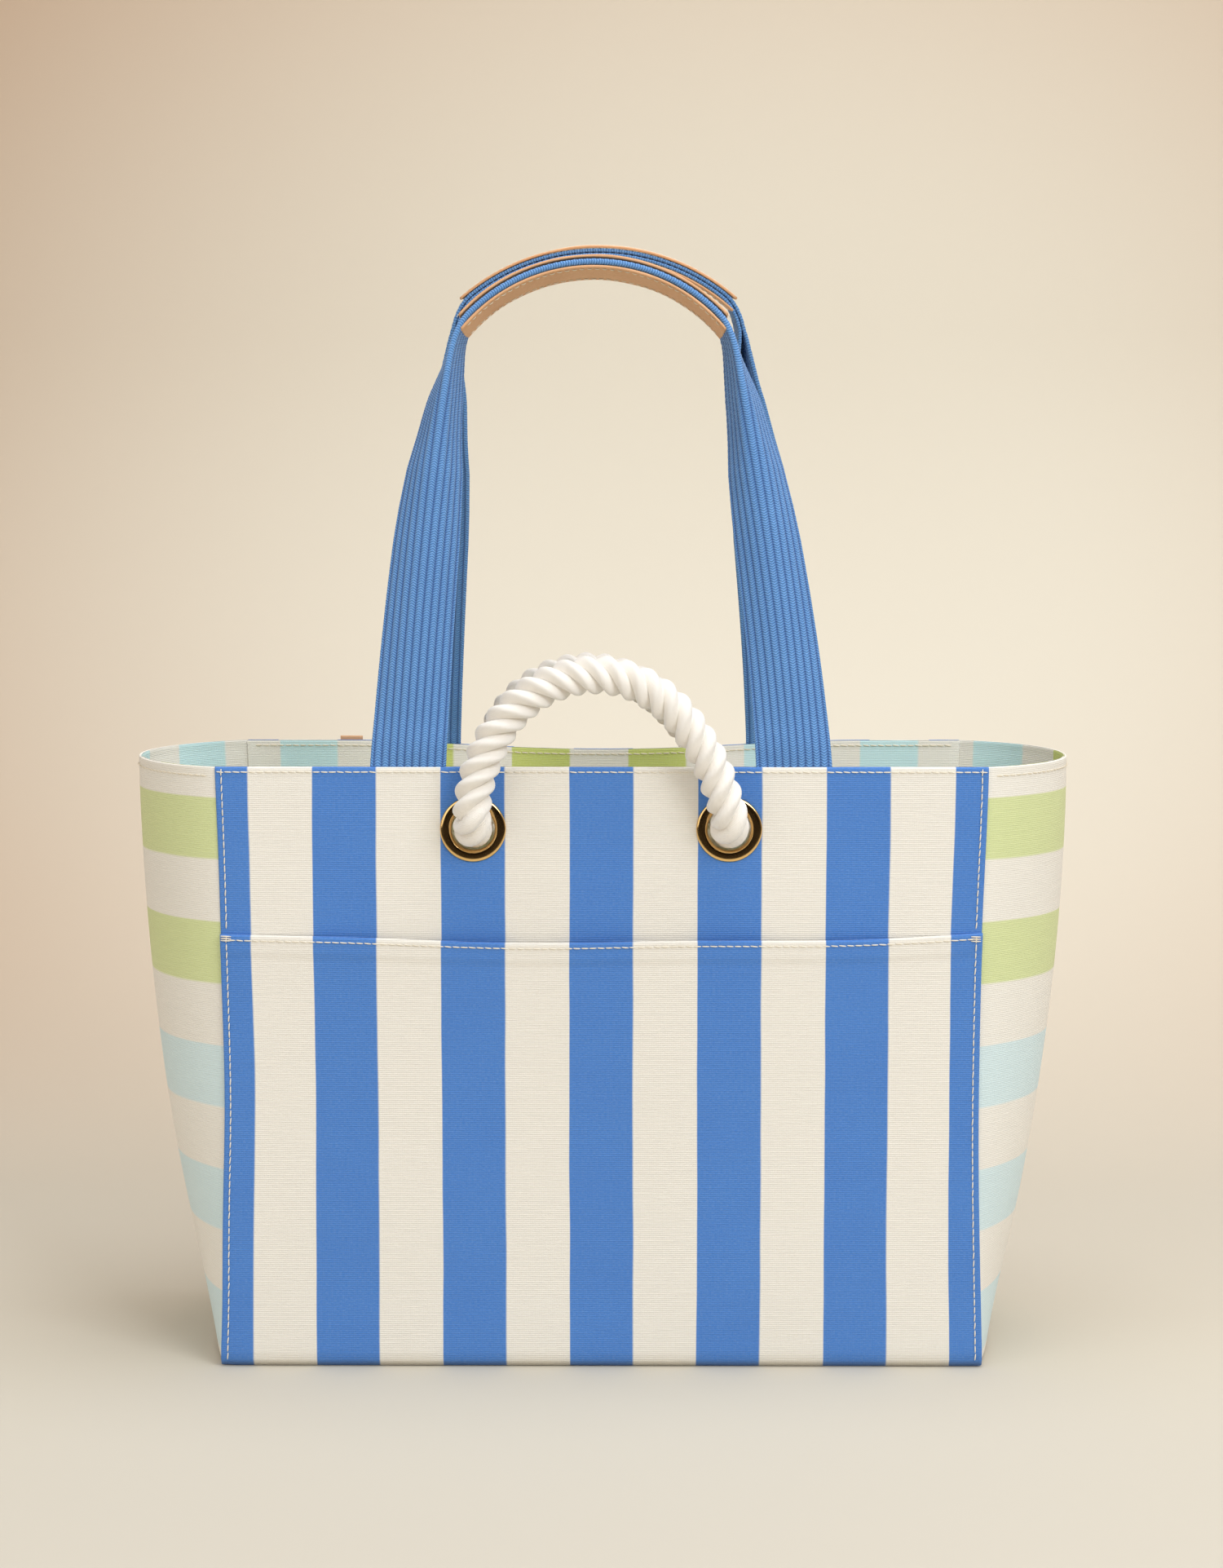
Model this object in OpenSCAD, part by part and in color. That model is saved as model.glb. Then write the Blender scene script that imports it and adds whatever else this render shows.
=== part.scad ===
// Structured canvas beach tote: striped body strip, bulging gussets, slip pocket,
// two folded webbing handles with leather grips, and two rope handles in grommets.
// Millimetres, base on z = 0, front toward -Y.

/* [Body] */
// width of the front and back panels
panel_width = 386; // [360:1:420]
// height of the rim above the floor
bag_height = 306; // [280:1:330]
// depth of the base, front panel face to back panel face
bag_depth = 152; // [140:1:170]
// how far each gusset swells past the panel at the rim
rim_bulge = 48; // [36:1:54]
// how far each gusset swells past the panel at the floor
floor_bulge = 8; // [4:1:12]
// outside radius of the fold between panel and base
fold_radius = 6; // [5.5:0.5:8]

/* [Cloth layers] */
// thickness of the outer canvas
canvas = 1.2; // [1:0.1:1.4]
// thickness of the stiff core sewn between canvas and lining
core = 2.6; // [2.4:0.1:3.2]
// thickness of the lining cloth
lining = 0.8; // [0.6:0.1:1]
// clearance between one cloth layer and the next
layer_gap = 0.1; // [0.05:0.05:0.15]
// width of the seam lap hidden behind the panel edges
seam_lap = 10; // [8:1:12]

/* [Pocket] */
// height of the pocket hem above the floor
pocket_height = 218; // [190:1:225]
// how far the hem stands off the panel at its middle
pocket_ease = 7; // [6:0.5:9]

/* [Rope handles] */
// diameter of the cotton rope
rope_diameter = 19; // [17:0.5:20]
// outside width of a rope handle at its grommets
rope_span = 147; // [140:1:150]
// height of the front rope handle above its holes, at the rope centre
rope_rise = 78; // [70:1:84]
// height of the back rope handle above its holes, at the rope centre
back_rope_rise = 66; // [60:1:80]
// distance of the rope holes below the rim
hole_drop = 31; // [28:1:36]
// distance from the panel face to the upright rope's centre line
rope_stand_off = 13; // [12.5:0.5:15]
// diameter of the stopper knot
knot_diameter = 40; // [34:1:44]

/* [Grommets] */
// bore of the grommet over the rope diameter
bore_clearance = 2.5; // [1.5:0.5:3]
// width of the grommet flange beyond its bore
flange_width = 5.75; // [5:0.25:7]
// height of the domed flange over the canvas
flange_height = 1.5; // [1.2:0.1:1.8]

/* [Webbing handles] */
// width of the webbing laid flat
webbing_width = 38; // [34:0.5:40]
// thickness of the webbing
webbing = 2.4; // [2:0.1:2.4]
// clear distance between the two legs of one handle at the rim
leg_gap = 155; // [152:1:162]
// height of the front handle above the rim, along its own slope
handle_rise = 256; // [220:1:280]
// height of the back handle above the rim, along its own slope
back_handle_rise = 264; // [220:1:280]
// distance of the front grip's open edges in front of the middle of the mouth
front_grip_set = 6; // [5:1:20]
// distance of the back grip's open edges behind the middle of the mouth
back_grip_set = -1; // [-2:1:20]
// roll of the front grip about its own length
grip_roll = 6; // [4:1:10]
// roll of the back grip about its own length
back_grip_roll = -9; // [-10:1:-6]
// length of webbing sewn in below the rim
tail_length = 42; // [35:1:50]
// thickness of the leather grip pads
leather = 1.4; // [1.2:0.1:1.8]

/* [Thread and tab] */
// thickness of the decorative sewing thread
thread = 0.6; // [0.5:0.1:0.8]
// distance of the side stitching from the panel edge
side_stitch_inset = 3; // [2:0.5:5]
// height of the small leather tab on the back
tab_height = 36; // [25:1:45]

/* [Hidden] */
half_w = panel_width / 2;
half_d = bag_depth / 2;
// seam clearance between bodies that move against each other
free_gap = 0.4;
// depth of the core slot, with a gap on each side
core_in = canvas + layer_gap;
core_out = core_in + core;
lining_in = core_out + layer_gap;
lining_out = lining_in + lining;
wall = lining_out;
hole_z = bag_height - hole_drop;
hole_x = (rope_span - rope_diameter) / 2;
bore = rope_diameter + bore_clearance;
barrel = bore + 2;
cloth_hole = barrel + 0.6;
flange = bore + 2 * flange_width;
hinge_y = half_d + rope_stand_off;
// handle hinge, just in front of and above the rim edge
strap_axis_y = half_d + 0.5;
strap_axis_z = bag_height + 0.5;
strap_mid_y = half_d - canvas - layer_gap - core / 2;
leg_x = (leg_gap + webbing_width) / 2;
// lean of each handle from upright, so that its grip stands at its own distance
front_slope = asin((strap_mid_y - front_grip_set - webbing_width / 2) / handle_rise);
back_slope = asin((strap_mid_y - back_grip_set - webbing_width / 2) / back_handle_rise);

// ---- helpers -------------------------------------------------------------
// Closed solid through rings of 2k points. Point i and point 2k-1-i face each other.
module skin(rings) {
    n = len(rings[0]);
    m = len(rings);
    points = [for (r = rings) for (p = r) p];
    sides = [for (i = [0:m - 2]) for (j = [0:n - 1]) for (t = [0, 1])
        let (a = i * n + j, b = i * n + (j + 1) % n, c = a + n, d = b + n)
        j < n / 2 ? (t == 0 ? [a, b, d] : [a, d, c]) : (t == 0 ? [a, b, c] : [b, d, c])];
    k = n / 2;
    first = [for (j = [0:k - 2]) for (t = [0, 1])
        let (a = j, b = j + 1, c = n - 2 - j, d = n - 1 - j)
        t == 0 ? [a, c, b] : [a, d, c]];
    o = (m - 1) * n;
    last = [for (f = first) [o + f[0], o + f[2], o + f[1]]];
    polyhedron(points, concat(sides, first, last));
}

function unit(v) = v / norm(v);
function smooth(t) = let (u = min(1, max(0, t))) u * u * (3 - 2 * u);

// ---- body strip ----------------------------------------------------------
// Side outline of the body strip at a distance in from the outer face.
module strip_outline(inset) {
    r = max(0.3, fold_radius - inset);
    h = bag_height - inset;
    w = bag_depth - 2 * inset;
    translate([0, inset]) {
        translate([-w / 2, r])
            square([w, h - r + 20]);
        translate([-w / 2 + r, 0])
            square([w - 2 * r, r + 1]);
        for (s = [-1, 1])
            translate([s * (w / 2 - r), r])
                circle(r = r, $fn = 64);
    }
}

// Front, base and back in one strip, between two insets, with its ends level at the rim.
module strip(from, to, width) {
    rotate([90, 0, 90])
        translate([0, 0, -width / 2])
            linear_extrude(width)
                intersection() {
                    difference() {
                        strip_outline(from);
                        strip_outline(to);
                    }
                    translate([-bag_depth, 0])
                        square([2 * bag_depth, bag_height]);
                }
}

// A round bar through both walls at one rope hole position.
module rope_bores(diameter) {
    for (s = [-1, 1])
        translate([s * hole_x, 0, hole_z])
            rotate([90, 0, 0])
                cylinder(d = diameter, h = 3 * bag_depth, center = true, $fn = 64);
}

module body_panel() {
    color("RoyalBlue")
        difference() {
            strip(0, canvas, panel_width);
            rope_bores(cloth_hole);
        }
}

module lining_panel() {
    color("Honeydew")
        difference() {
            strip(lining_in, lining_out, panel_width - 2);
            rope_bores(cloth_hole);
        }
}

// Stiff sheet inside one wall, cut away for the rope holes and the webbing tails.
module wall_core() {
    low = fold_radius + 1;
    width = panel_width - 2 * seam_lap - 4;
    difference() {
        translate([-width / 2, -half_d + core_in, low])
            cube([width, core, bag_height - 4 - low]);
        rope_bores(cloth_hole);
        for (s = [-1, 1])
            translate([s * leg_x - webbing_width / 2 - 0.6, -half_d, bag_height - tail_length - 1])
                cube([webbing_width + 1.2, 10, tail_length + 2]);
    }
}

module front_core() {
    color("Gainsboro")
        wall_core();
}

module back_core() {
    color("Gainsboro")
        rotate([0, 0, 180])
            wall_core();
}

module base_board() {
    width = panel_width - 2 * seam_lap - 4;
    depth = bag_depth - 2 * fold_radius - 2;
    color("Tan")
        translate([-width / 2, -depth / 2, core_in])
            cube([width, depth, core]);
}

// ---- gussets -------------------------------------------------------------
// Swell of the gusset past the panel edge at height z.
function bulge(z) = floor_bulge + (rim_bulge - floor_bulge) * (1 - pow(1 - z / bag_height, 2));
// Inside half depth of the body strip at height z, so the lap follows the rounded fold.
function fold_half(z, inset) =
    let (r = fold_radius - inset, t = max(0, r - (z - inset)))
    half_d - inset - (r - sqrt(max(0, r * r - t * t)));
gusset_steps = 20;
gusset_levels = [0, 1.2, 2.6, 4.4, 9, 18, 38, 70, 120, 170, 220, 265, bag_height];

// Plan curve of the gusset's outer face: lap, then the swelling arc, then the other lap.
function gusset_curve(z) =
    let (d = fold_half(z, canvas) - layer_gap,
        b = bulge(z),
        c = (d * d - b * b) / (2 * b),
        r = b + c,
        a = asin(d / r))
    concat([[-half_w + seam_lap, -d], [-half_w + 3, -d]],
        [for (i = [0:gusset_steps])
            let (t = -a + 2 * a * i / gusset_steps)
            [-half_w - (r * cos(t) - c), r * sin(t)]],
        [[-half_w + 3, d], [-half_w + seam_lap, d]]);

// Direction across the layers at each point of the plan curve, pointing inward.
function gusset_inward(z) =
    let (d = fold_half(z, canvas) - layer_gap,
        b = bulge(z),
        c = (d * d - b * b) / (2 * b),
        r = b + c,
        a = asin(d / r))
    concat([[0, 1], [0, 1]],
        [for (i = [0:gusset_steps])
            let (t = -a + 2 * a * i / gusset_steps)
            i == 0 ? [0.25, 0.97] : i == gusset_steps ? [0.25, -0.97] : [cos(t), -sin(t)]],
        [[0, -1], [0, -1]]);

// One closed curved sheet between two depths behind the gusset's outer face.
module gusset_sheet(from, to) {
    low = canvas + from + 0.15;
    n = gusset_steps + 5;
    skin([for (q = gusset_levels)
        let (z = min(bag_height, low + q),
            p = gusset_curve(z),
            v = gusset_inward(z))
        concat([for (i = [0:n - 1]) [p[i][0] + from * v[i][0], p[i][1] + from * v[i][1], z]],
            [for (j = [0:n - 1])
                let (i = n - 1 - j)
                [p[i][0] + to * v[i][0], p[i][1] + to * v[i][1], z]])]);
}

module left_gusset() {
    color("PaleGreen")
        gusset_sheet(0, canvas);
}

module right_gusset() {
    color("PaleGreen")
        mirror([1, 0, 0])
            gusset_sheet(0, canvas);
}

module left_gusset_lining() {
    color("Honeydew")
        gusset_sheet(canvas + layer_gap, canvas + layer_gap + lining);
}

module right_gusset_lining() {
    color("Honeydew")
        mirror([1, 0, 0])
            gusset_sheet(canvas + layer_gap, canvas + layer_gap + lining);
}

// ---- pocket --------------------------------------------------------------
// Gap between pocket and panel, widest at the middle of the hem.
function pocket_gap(x, z) =
    layer_gap + pocket_ease * (1 - pow(x / half_w, 2)) * pow(z / pocket_height, 2);

module front_pocket() {
    low = fold_radius + 0.5;
    n = 16;
    color("CornflowerBlue")
        skin([for (k = [0:12])
            let (z = low + (pocket_height - low) * k / 12)
            concat([for (i = [0:n])
                    let (x = -half_w + panel_width * i / n)
                    [x, -half_d - canvas - pocket_gap(x, z), z]],
                [for (j = [0:n])
                    let (x = half_w - panel_width * j / n)
                    [x, -half_d - pocket_gap(x, z), z]])]);
}

// ---- grommets ------------------------------------------------------------
// Flange, barrel and curled inner end, turned about the bore.
module grommet_solid() {
    back = wall + 0.9;
    translate([0, -half_d, 0])
        rotate([-90, 0, 0])
            rotate_extrude($fn = 64)
                difference() {
                    union() {
                        translate([bore / 2, -flange_height])
                            square([flange_width * 0.55, flange_height - 0.05]);
                        translate([bore / 2, -flange_height * 0.55])
                            square([flange_width, flange_height * 0.55 - 0.05]);
                        translate([flange / 2 - flange_width * 0.45 - 0.4, -flange_height * 0.55])
                            circle(r = flange_height * 0.44, $fn = 24);
                        translate([bore / 2, -flange_height])
                            square([1, back + flange_height + 0.8]);
                        translate([bore / 2, back])
                            square([3.2, 0.8]);
                    }
                    translate([0, -10])
                        square([bore / 2, 40]);
                }
}

// Ring washer inside the bag, under the curl of the barrel.
module washer_solid() {
    translate([0, -half_d + wall + 0.05, 0])
        rotate([-90, 0, 0])
            difference() {
                cylinder(d = flange, h = 0.8, $fn = 64);
                translate([0, 0, -1])
                    cylinder(d = barrel + 0.3, h = 3, $fn = 64);
            }
}

// Puts a part of one rope hole at a hole: side is -1 left or 1 right.
module at_front(side) {
    translate([side * hole_x, 0, hole_z])
        children();
}

module at_back(side) {
    rotate([0, 0, 180])
        translate([-side * hole_x, 0, hole_z])
            children();
}

module front_left_grommet() {
    color("Gold")
        at_front(-1)
            grommet_solid();
}

module front_right_grommet() {
    color("Gold")
        at_front(1)
            grommet_solid();
}

module back_left_grommet() {
    color("Gold")
        at_back(-1)
            grommet_solid();
}

module back_right_grommet() {
    color("Gold")
        at_back(1)
            grommet_solid();
}

module front_left_washer() {
    color("Goldenrod")
        at_front(-1)
            washer_solid();
}

module front_right_washer() {
    color("Goldenrod")
        at_front(1)
            washer_solid();
}

module back_left_washer() {
    color("Goldenrod")
        at_back(-1)
            washer_solid();
}

module back_right_washer() {
    color("Goldenrod")
        at_back(1)
            washer_solid();
}

// ---- ropes ---------------------------------------------------------------
// Fixed rope end: through the grommet, stopper knot, short tail.
module rope_end_solid() {
    outer = half_d + rope_stand_off - rope_diameter / 2 - free_gap;
    knot_y = half_d - wall - 1.9 - knot_diameter / 2;
    translate([0, -knot_y, 0])
        sphere(d = knot_diameter, $fn = 48);
    translate([0, -outer, 0])
        rotate([-90, 0, 0])
            cylinder(d = rope_diameter, h = outer - knot_y, $fn = 48);
    translate([0, -knot_y + 3, -knot_diameter / 2 - 16])
        cylinder(d = rope_diameter, h = 22, $fn = 48);
}

module front_left_rope_end() {
    color("Ivory")
        at_front(-1)
            rope_end_solid();
}

module front_right_rope_end() {
    color("Ivory")
        at_front(1)
            rope_end_solid();
}

module back_left_rope_end() {
    color("Ivory")
        at_back(-1)
            rope_end_solid();
}

module back_right_rope_end() {
    color("Ivory")
        at_back(1)
            rope_end_solid();
}

// Rope loop centre line, as shares of half the hole spacing and of the loop rise.
rope_route = [[-1, 0], [-1, 0.12], [-0.97, 0.3], [-0.9, 0.48], [-0.78, 0.67], [-0.62, 0.82],
    [-0.42, 0.93], [-0.2, 0.99], [0.02, 1], [0.24, 0.96], [0.44, 0.87], [0.61, 0.74],
    [0.76, 0.57], [0.87, 0.4], [0.95, 0.22], [1, 0.07], [1, 0]];

function rope_point(i, rise) = [hole_x * rope_route[i][0], rise * rope_route[i][1]];
function rope_heading(i, rise) =
    let (last = len(rope_route) - 1)
    i == 0 ? [0, 1] : i == last ? [0, -1] : unit(rope_point(i + 1, rise) - rope_point(i - 1, rise));

// Upright rope loop, with a round end on the hinge line at each hole.
module rope_loop_solid(rise) {
    sides = 12;
    last = len(rope_route) - 1;
    caps = [75, 50, 25];
    stations = concat(
        [for (k = [0:2]) [rope_point(0, rise) - [0, sin(caps[k])] * rope_diameter / 2, [0, 1], cos(caps[k])]],
        [for (i = [0:last]) [rope_point(i, rise), rope_heading(i, rise), 1]],
        [for (k = [0:2]) [rope_point(last, rise) - [0, sin(caps[2 - k])] * rope_diameter / 2, [0, -1],
            cos(caps[2 - k])]]);
    translate([0, -hinge_y, hole_z])
        skin([for (q = stations)
            let (p = q[0], t = q[1], n = [-t[1], t[0]], r = rope_diameter / 2 * q[2])
            [for (j = [0:sides - 1])
                let (a = 360 * j / sides + 15)
                [p[0] + r * cos(a) * n[0], r * sin(a), p[1] + r * cos(a) * n[1]]]]);
}

module front_rope_loop() {
    color("Ivory")
        rope_loop_solid(rope_rise);
}

module back_rope_loop() {
    color("Ivory")
        mirror([0, 1, 0])
            rope_loop_solid(back_rope_rise);
}

// ---- webbing handles -----------------------------------------------------
// Grip arc: half span, rise and radius of the top of the handle.
grip_half = 68;
grip_arc_rise = 29;
grip_radius = (grip_half * grip_half + grip_arc_rise * grip_arc_rise) / (2 * grip_arc_rise);
grip_angle = asin(grip_half / grip_radius);
leg_rings = 16;
grip_rings = 16;
// Half opening of the fold as a share of flat, against the share of the leg's height.
fold_shares = [[0, 1], [0.1, 0.92], [0.2, 0.82], [0.4, 0.75], [0.55, 0.68], [0.65, 0.58],
    [0.75, 0.45], [0.85, 0.32], [0.95, 0.15], [1, 0.04]];
// How far the pads stand off the fold, past its slight opening.
pad_off = webbing + 0.3 + (webbing_width / 2 + 2) * sin(90 * 0.04);

// Centre line of the left leg as [x, height]; t runs from the rim to the grip.
function leg_point(t, rise) =
    [-leg_x + (leg_x - grip_half - 5) * (0.55 * t + 0.45 * t * t), leg_top(rise) * t];
function leg_top(rise) = rise - grip_arc_rise - 9;
// Centre line of the grip arc at angle a.
function grip_point(a, rise) = [grip_radius * sin(a),
    rise - grip_radius + grip_radius * cos(a)];
function strap_line(rise) = concat(
    [for (i = [0:leg_rings]) leg_point(i / leg_rings, rise)],
    [for (i = [0:grip_rings]) grip_point(-grip_angle + 2 * grip_angle * i / grip_rings, rise)],
    [for (i = [0:leg_rings])
        let (p = leg_point(1 - i / leg_rings, rise))
        [-p[0], p[1]]]);
// Half opening of the fold: flat at the rim, closed in the grip.
function fold_angle(h, rise) = 90 * lookup(h / leg_top(rise), fold_shares);
function roll_at(i, last, roll) =
    let (m = min(i, last - i))
    roll * smooth((m - leg_rings + 6) / 6);

// Ring of the folded webbing at one point of its line, in the handle's own plane.
function fold_ring(p, t, angle, roll, thick, half) =
    let (a3 = [t[1], 0, -t[0]],
        out = [-a3[0], 0, -a3[2]],
        back = [0, 1, 0],
        b = cos(roll) * back + sin(roll) * out * -1,
        a = cos(roll) * out + sin(roll) * back,
        hr = cos(angle) * b + sin(angle) * a,
        hl = cos(angle) * b - sin(angle) * a,
        nr = cos(angle) * a - sin(angle) * b,
        nl = -cos(angle) * a - sin(angle) * b,
        c = [p[0], webbing / 2, p[1]])
    [c + half * hr + thick * nr, c + 0.5 * hr + thick * nr, c - thick * b,
        c + 0.5 * hl + thick * nl, c + half * hl + thick * nl,
        c + half * hl, c + 0.5 * hl, c + 0.02 * b, c + 0.5 * hr, c + half * hr];

function strap_heading(line, i) =
    let (last = len(line) - 1)
    i == 0 ? [0, 1] : i == last ? [0, -1] : unit(line[i + 1] - line[i - 1]);

// Webbing loop of the front handle, standing in its slope.
module strap_solid(slope, roll, rise) {
    line = strap_line(rise);
    last = len(line) - 1;
    place_handle(slope)
        skin([for (i = [0:last])
            fold_ring(line[i], strap_heading(line, i), fold_angle(line[i][1], rise),
                roll_at(i, last, roll), webbing, webbing_width / 2)]);
}

// Stands a handle built in the X-Z plane on the rim, leaning over the mouth.
module place_handle(slope) {
    translate([0, -strap_mid_y, bag_height + 0.9])
        rotate([-slope, 0, 0])
            children();
}

module front_webbing_strap() {
    color("SteelBlue")
        strap_solid(front_slope, grip_roll, handle_rise);
}

module back_webbing_strap() {
    color("SteelBlue")
        rotate([0, 0, 180])
            strap_solid(back_slope, back_grip_roll, back_handle_rise);
}

// Leather pad above or below the folded webbing, following the grip arc.
module pad_solid(slope, roll, rise, side) {
    n = 18;
    span = grip_angle + 2;
    depth = webbing_width / 2 + 2;
    place_handle(slope)
        skin([for (i = [0:n])
            let (a = -span + 2 * span * i / n,
                p = grip_point(a, rise),
                up = [sin(a), 0, cos(a)],
                b = cos(roll) * [0, 1, 0] - sin(roll) * up,
                o = cos(roll) * up + sin(roll) * [0, 1, 0],
                c = [p[0], webbing / 2, p[1]] - (webbing - 0.4) * b,
                lo = pad_off,
                hi = lo + leather)
            side > 0 ? [c + lo * o, c + hi * o, c + depth * b + hi * o, c + depth * b + lo * o] :
                [c - hi * o, c - lo * o, c + depth * b - lo * o, c + depth * b - hi * o]]);
}

module front_upper_grip() {
    color("Peru")
        pad_solid(front_slope, grip_roll, handle_rise, 1);
}

module front_lower_grip() {
    color("Peru")
        pad_solid(front_slope, grip_roll, handle_rise, -1);
}

module back_upper_grip() {
    color("Peru")
        rotate([0, 0, 180])
            pad_solid(back_slope, back_grip_roll, back_handle_rise, 1);
}

module back_lower_grip() {
    color("Peru")
        rotate([0, 0, 180])
            pad_solid(back_slope, back_grip_roll, back_handle_rise, -1);
}

// Two rows of thread on top of the upper pad and two under the lower one.
module grip_thread_solid(slope, roll, rise) {
    n = 18;
    span = grip_angle;
    level = pad_off + leather + 0.15;
    place_handle(slope)
        for (side = [-1, 1])
            for (row = [2.5, webbing_width / 2 - 3])
                skin([for (i = [0:n])
                    let (a = -span + 2 * span * i / n,
                        p = grip_point(a, rise),
                        up = [sin(a), 0, cos(a)],
                        b = cos(roll) * [0, 1, 0] - sin(roll) * up,
                        o = cos(roll) * up + sin(roll) * [0, 1, 0],
                        c = [p[0], webbing / 2, p[1]] + row * b,
                        lo = side > 0 ? level : -level - thread)
                    [c + lo * o, c + (lo + thread) * o, c + thread * b + (lo + thread) * o,
                        c + thread * b + lo * o]]);
}

module front_grip_thread() {
    color("Linen")
        grip_thread_solid(front_slope, grip_roll, handle_rise);
}

module back_grip_thread() {
    color("Linen")
        rotate([0, 0, 180])
            grip_thread_solid(back_slope, back_grip_roll, back_handle_rise);
}

// Sewn-in end of the webbing, between canvas and lining.
module tail_solid(side) {
    translate([side * leg_x - webbing_width / 2, -strap_mid_y - webbing / 2,
        bag_height - tail_length])
        cube([webbing_width, webbing, tail_length]);
}

module front_left_strap_tail() {
    color("SteelBlue")
        tail_solid(-1);
}

module front_right_strap_tail() {
    color("SteelBlue")
        tail_solid(1);
}

module back_left_strap_tail() {
    color("SteelBlue")
        rotate([0, 0, 180])
            tail_solid(1);
}

module back_right_strap_tail() {
    color("SteelBlue")
        rotate([0, 0, 180])
            tail_solid(-1);
}

// ---- stitching -----------------------------------------------------------
module rim_thread_solid() {
    translate([-half_w + 2, -half_d - thread, bag_height - 4])
        cube([panel_width - 4, thread - 0.02, thread]);
}

module front_rim_thread() {
    color("White")
        rim_thread_solid();
}

module back_rim_thread() {
    color("White")
        difference() {
            rotate([0, 0, 180])
                rim_thread_solid();
            translate([-145, half_d - 1, bag_height - 8])
                cube([16, 4, 8]);
        }
}

// Topstitching just under the pocket hem, following its swell.
module pocket_hem_thread() {
    n = 16;
    z = pocket_height - 3;
    color("White")
        skin([for (i = [0:n])
            let (x = (-half_w + 4) + (panel_width - 8) * i / n,
                y = -half_d - canvas - pocket_gap(x, z) - 0.05)
            [[x, y, z], [x, y - thread, z], [x, y - thread, z + thread], [x, y, z + thread]]]);
}

// Topstitching down one side, under the base and up the back.
module side_thread_solid() {
    translate([-half_w + side_stitch_inset, 0, 0])
        rotate([90, 0, 90])
            linear_extrude(thread)
                union() {
                    translate([-half_d - thread, fold_radius + 6])
                        square([thread - 0.02, bag_height - fold_radius - 12]);
                    translate([half_d + 0.02, fold_radius + 6])
                        square([thread - 0.02, bag_height - fold_radius - 12]);
                }
}

// The pocket lies over the front row, so that row steps out over the pocket.
module side_thread() {
    difference() {
        side_thread_solid();
        translate([-half_w - 5, -half_d - 3, 0])
            cube([20, 3, pocket_height + 1]);
    }
    n = 8;
    x = -half_w + side_stitch_inset;
    skin([for (k = [0:n])
        let (z = fold_radius + 6 + (pocket_height - fold_radius - 8) * k / n,
            y = -half_d - canvas - pocket_gap(x + thread, z) - 0.05)
        [[x, y, z], [x + thread, y, z], [x + thread, y - thread, z], [x, y - thread, z]]]);
}

module left_side_thread() {
    color("White")
        side_thread();
}

module right_side_thread() {
    color("White")
        mirror([1, 0, 0])
            side_thread();
}

// Tone-on-tone row round the top of one gusset, on its outer face.
module gusset_rim_thread() {
    n = 14;
    z = bag_height - 5;
    d = fold_half(z, canvas) - layer_gap;
    b = bulge(z);
    c = (d * d - b * b) / (2 * b);
    a = asin(d / (b + c)) - 6;
    r = (b + c) / cos(a / n) + 0.1;
    skin([for (i = [0:n])
        let (t = -a + 2 * a * i / n,
            o = [-cos(t), sin(t)],
            p = [-half_w + c, 0] + r * o,
            q = p + thread * o)
        [[p[0], p[1], z], [q[0], q[1], z], [q[0], q[1], z + thread], [p[0], p[1], z + thread]]]);
}

module left_gusset_rim_thread() {
    color("Linen")
        gusset_rim_thread();
}

module right_gusset_rim_thread() {
    color("Linen")
        mirror([1, 0, 0])
            gusset_rim_thread();
}

// Small blank leather tab on the back, its top just over the rim.
module back_leather_tab() {
    color("Peru")
        translate([-143, half_d + 0.05, bag_height + 2 - tab_height])
            cube([12, leather, tab_height]);
}

body_panel();
left_gusset();
right_gusset();
front_pocket();
front_core();
back_core();
base_board();
lining_panel();
left_gusset_lining();
right_gusset_lining();
front_left_grommet();
front_right_grommet();
back_left_grommet();
back_right_grommet();
front_left_washer();
front_right_washer();
back_left_washer();
back_right_washer();
front_rope_loop();
back_rope_loop();
front_left_rope_end();
front_right_rope_end();
back_left_rope_end();
back_right_rope_end();
front_webbing_strap();
back_webbing_strap();
front_left_strap_tail();
front_right_strap_tail();
back_left_strap_tail();
back_right_strap_tail();
front_upper_grip();
front_lower_grip();
back_upper_grip();
back_lower_grip();
front_grip_thread();
back_grip_thread();
front_rim_thread();
back_rim_thread();
pocket_hem_thread();
left_side_thread();
right_side_thread();
left_gusset_rim_thread();
right_gusset_rim_thread();
back_leather_tab();
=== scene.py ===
import math

import bpy
import numpy as np
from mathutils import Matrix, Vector


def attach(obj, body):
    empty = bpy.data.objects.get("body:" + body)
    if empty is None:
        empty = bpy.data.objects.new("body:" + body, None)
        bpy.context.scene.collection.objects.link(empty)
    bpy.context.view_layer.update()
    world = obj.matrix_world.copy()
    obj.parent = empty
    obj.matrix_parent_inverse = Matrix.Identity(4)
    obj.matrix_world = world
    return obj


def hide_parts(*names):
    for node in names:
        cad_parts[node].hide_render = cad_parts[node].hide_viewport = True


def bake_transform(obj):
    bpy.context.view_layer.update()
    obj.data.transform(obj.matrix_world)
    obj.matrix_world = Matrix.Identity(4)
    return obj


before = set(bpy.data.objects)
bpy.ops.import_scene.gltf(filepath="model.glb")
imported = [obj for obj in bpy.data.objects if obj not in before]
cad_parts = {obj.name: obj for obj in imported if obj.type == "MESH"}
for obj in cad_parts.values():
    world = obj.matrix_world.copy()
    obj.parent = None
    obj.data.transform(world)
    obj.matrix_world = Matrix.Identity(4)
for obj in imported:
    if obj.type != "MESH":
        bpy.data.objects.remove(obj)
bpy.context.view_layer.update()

bl_info = {
    "name": "Beach Tote",
    "version": (1, 0, 0),
    "blender": (4, 5, 0),
    "location": "3D View > Sidebar > Beach Tote",
    "description": "Builds a striped canvas beach tote with webbing and rope handles",
    "category": "Add Mesh",
}

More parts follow.
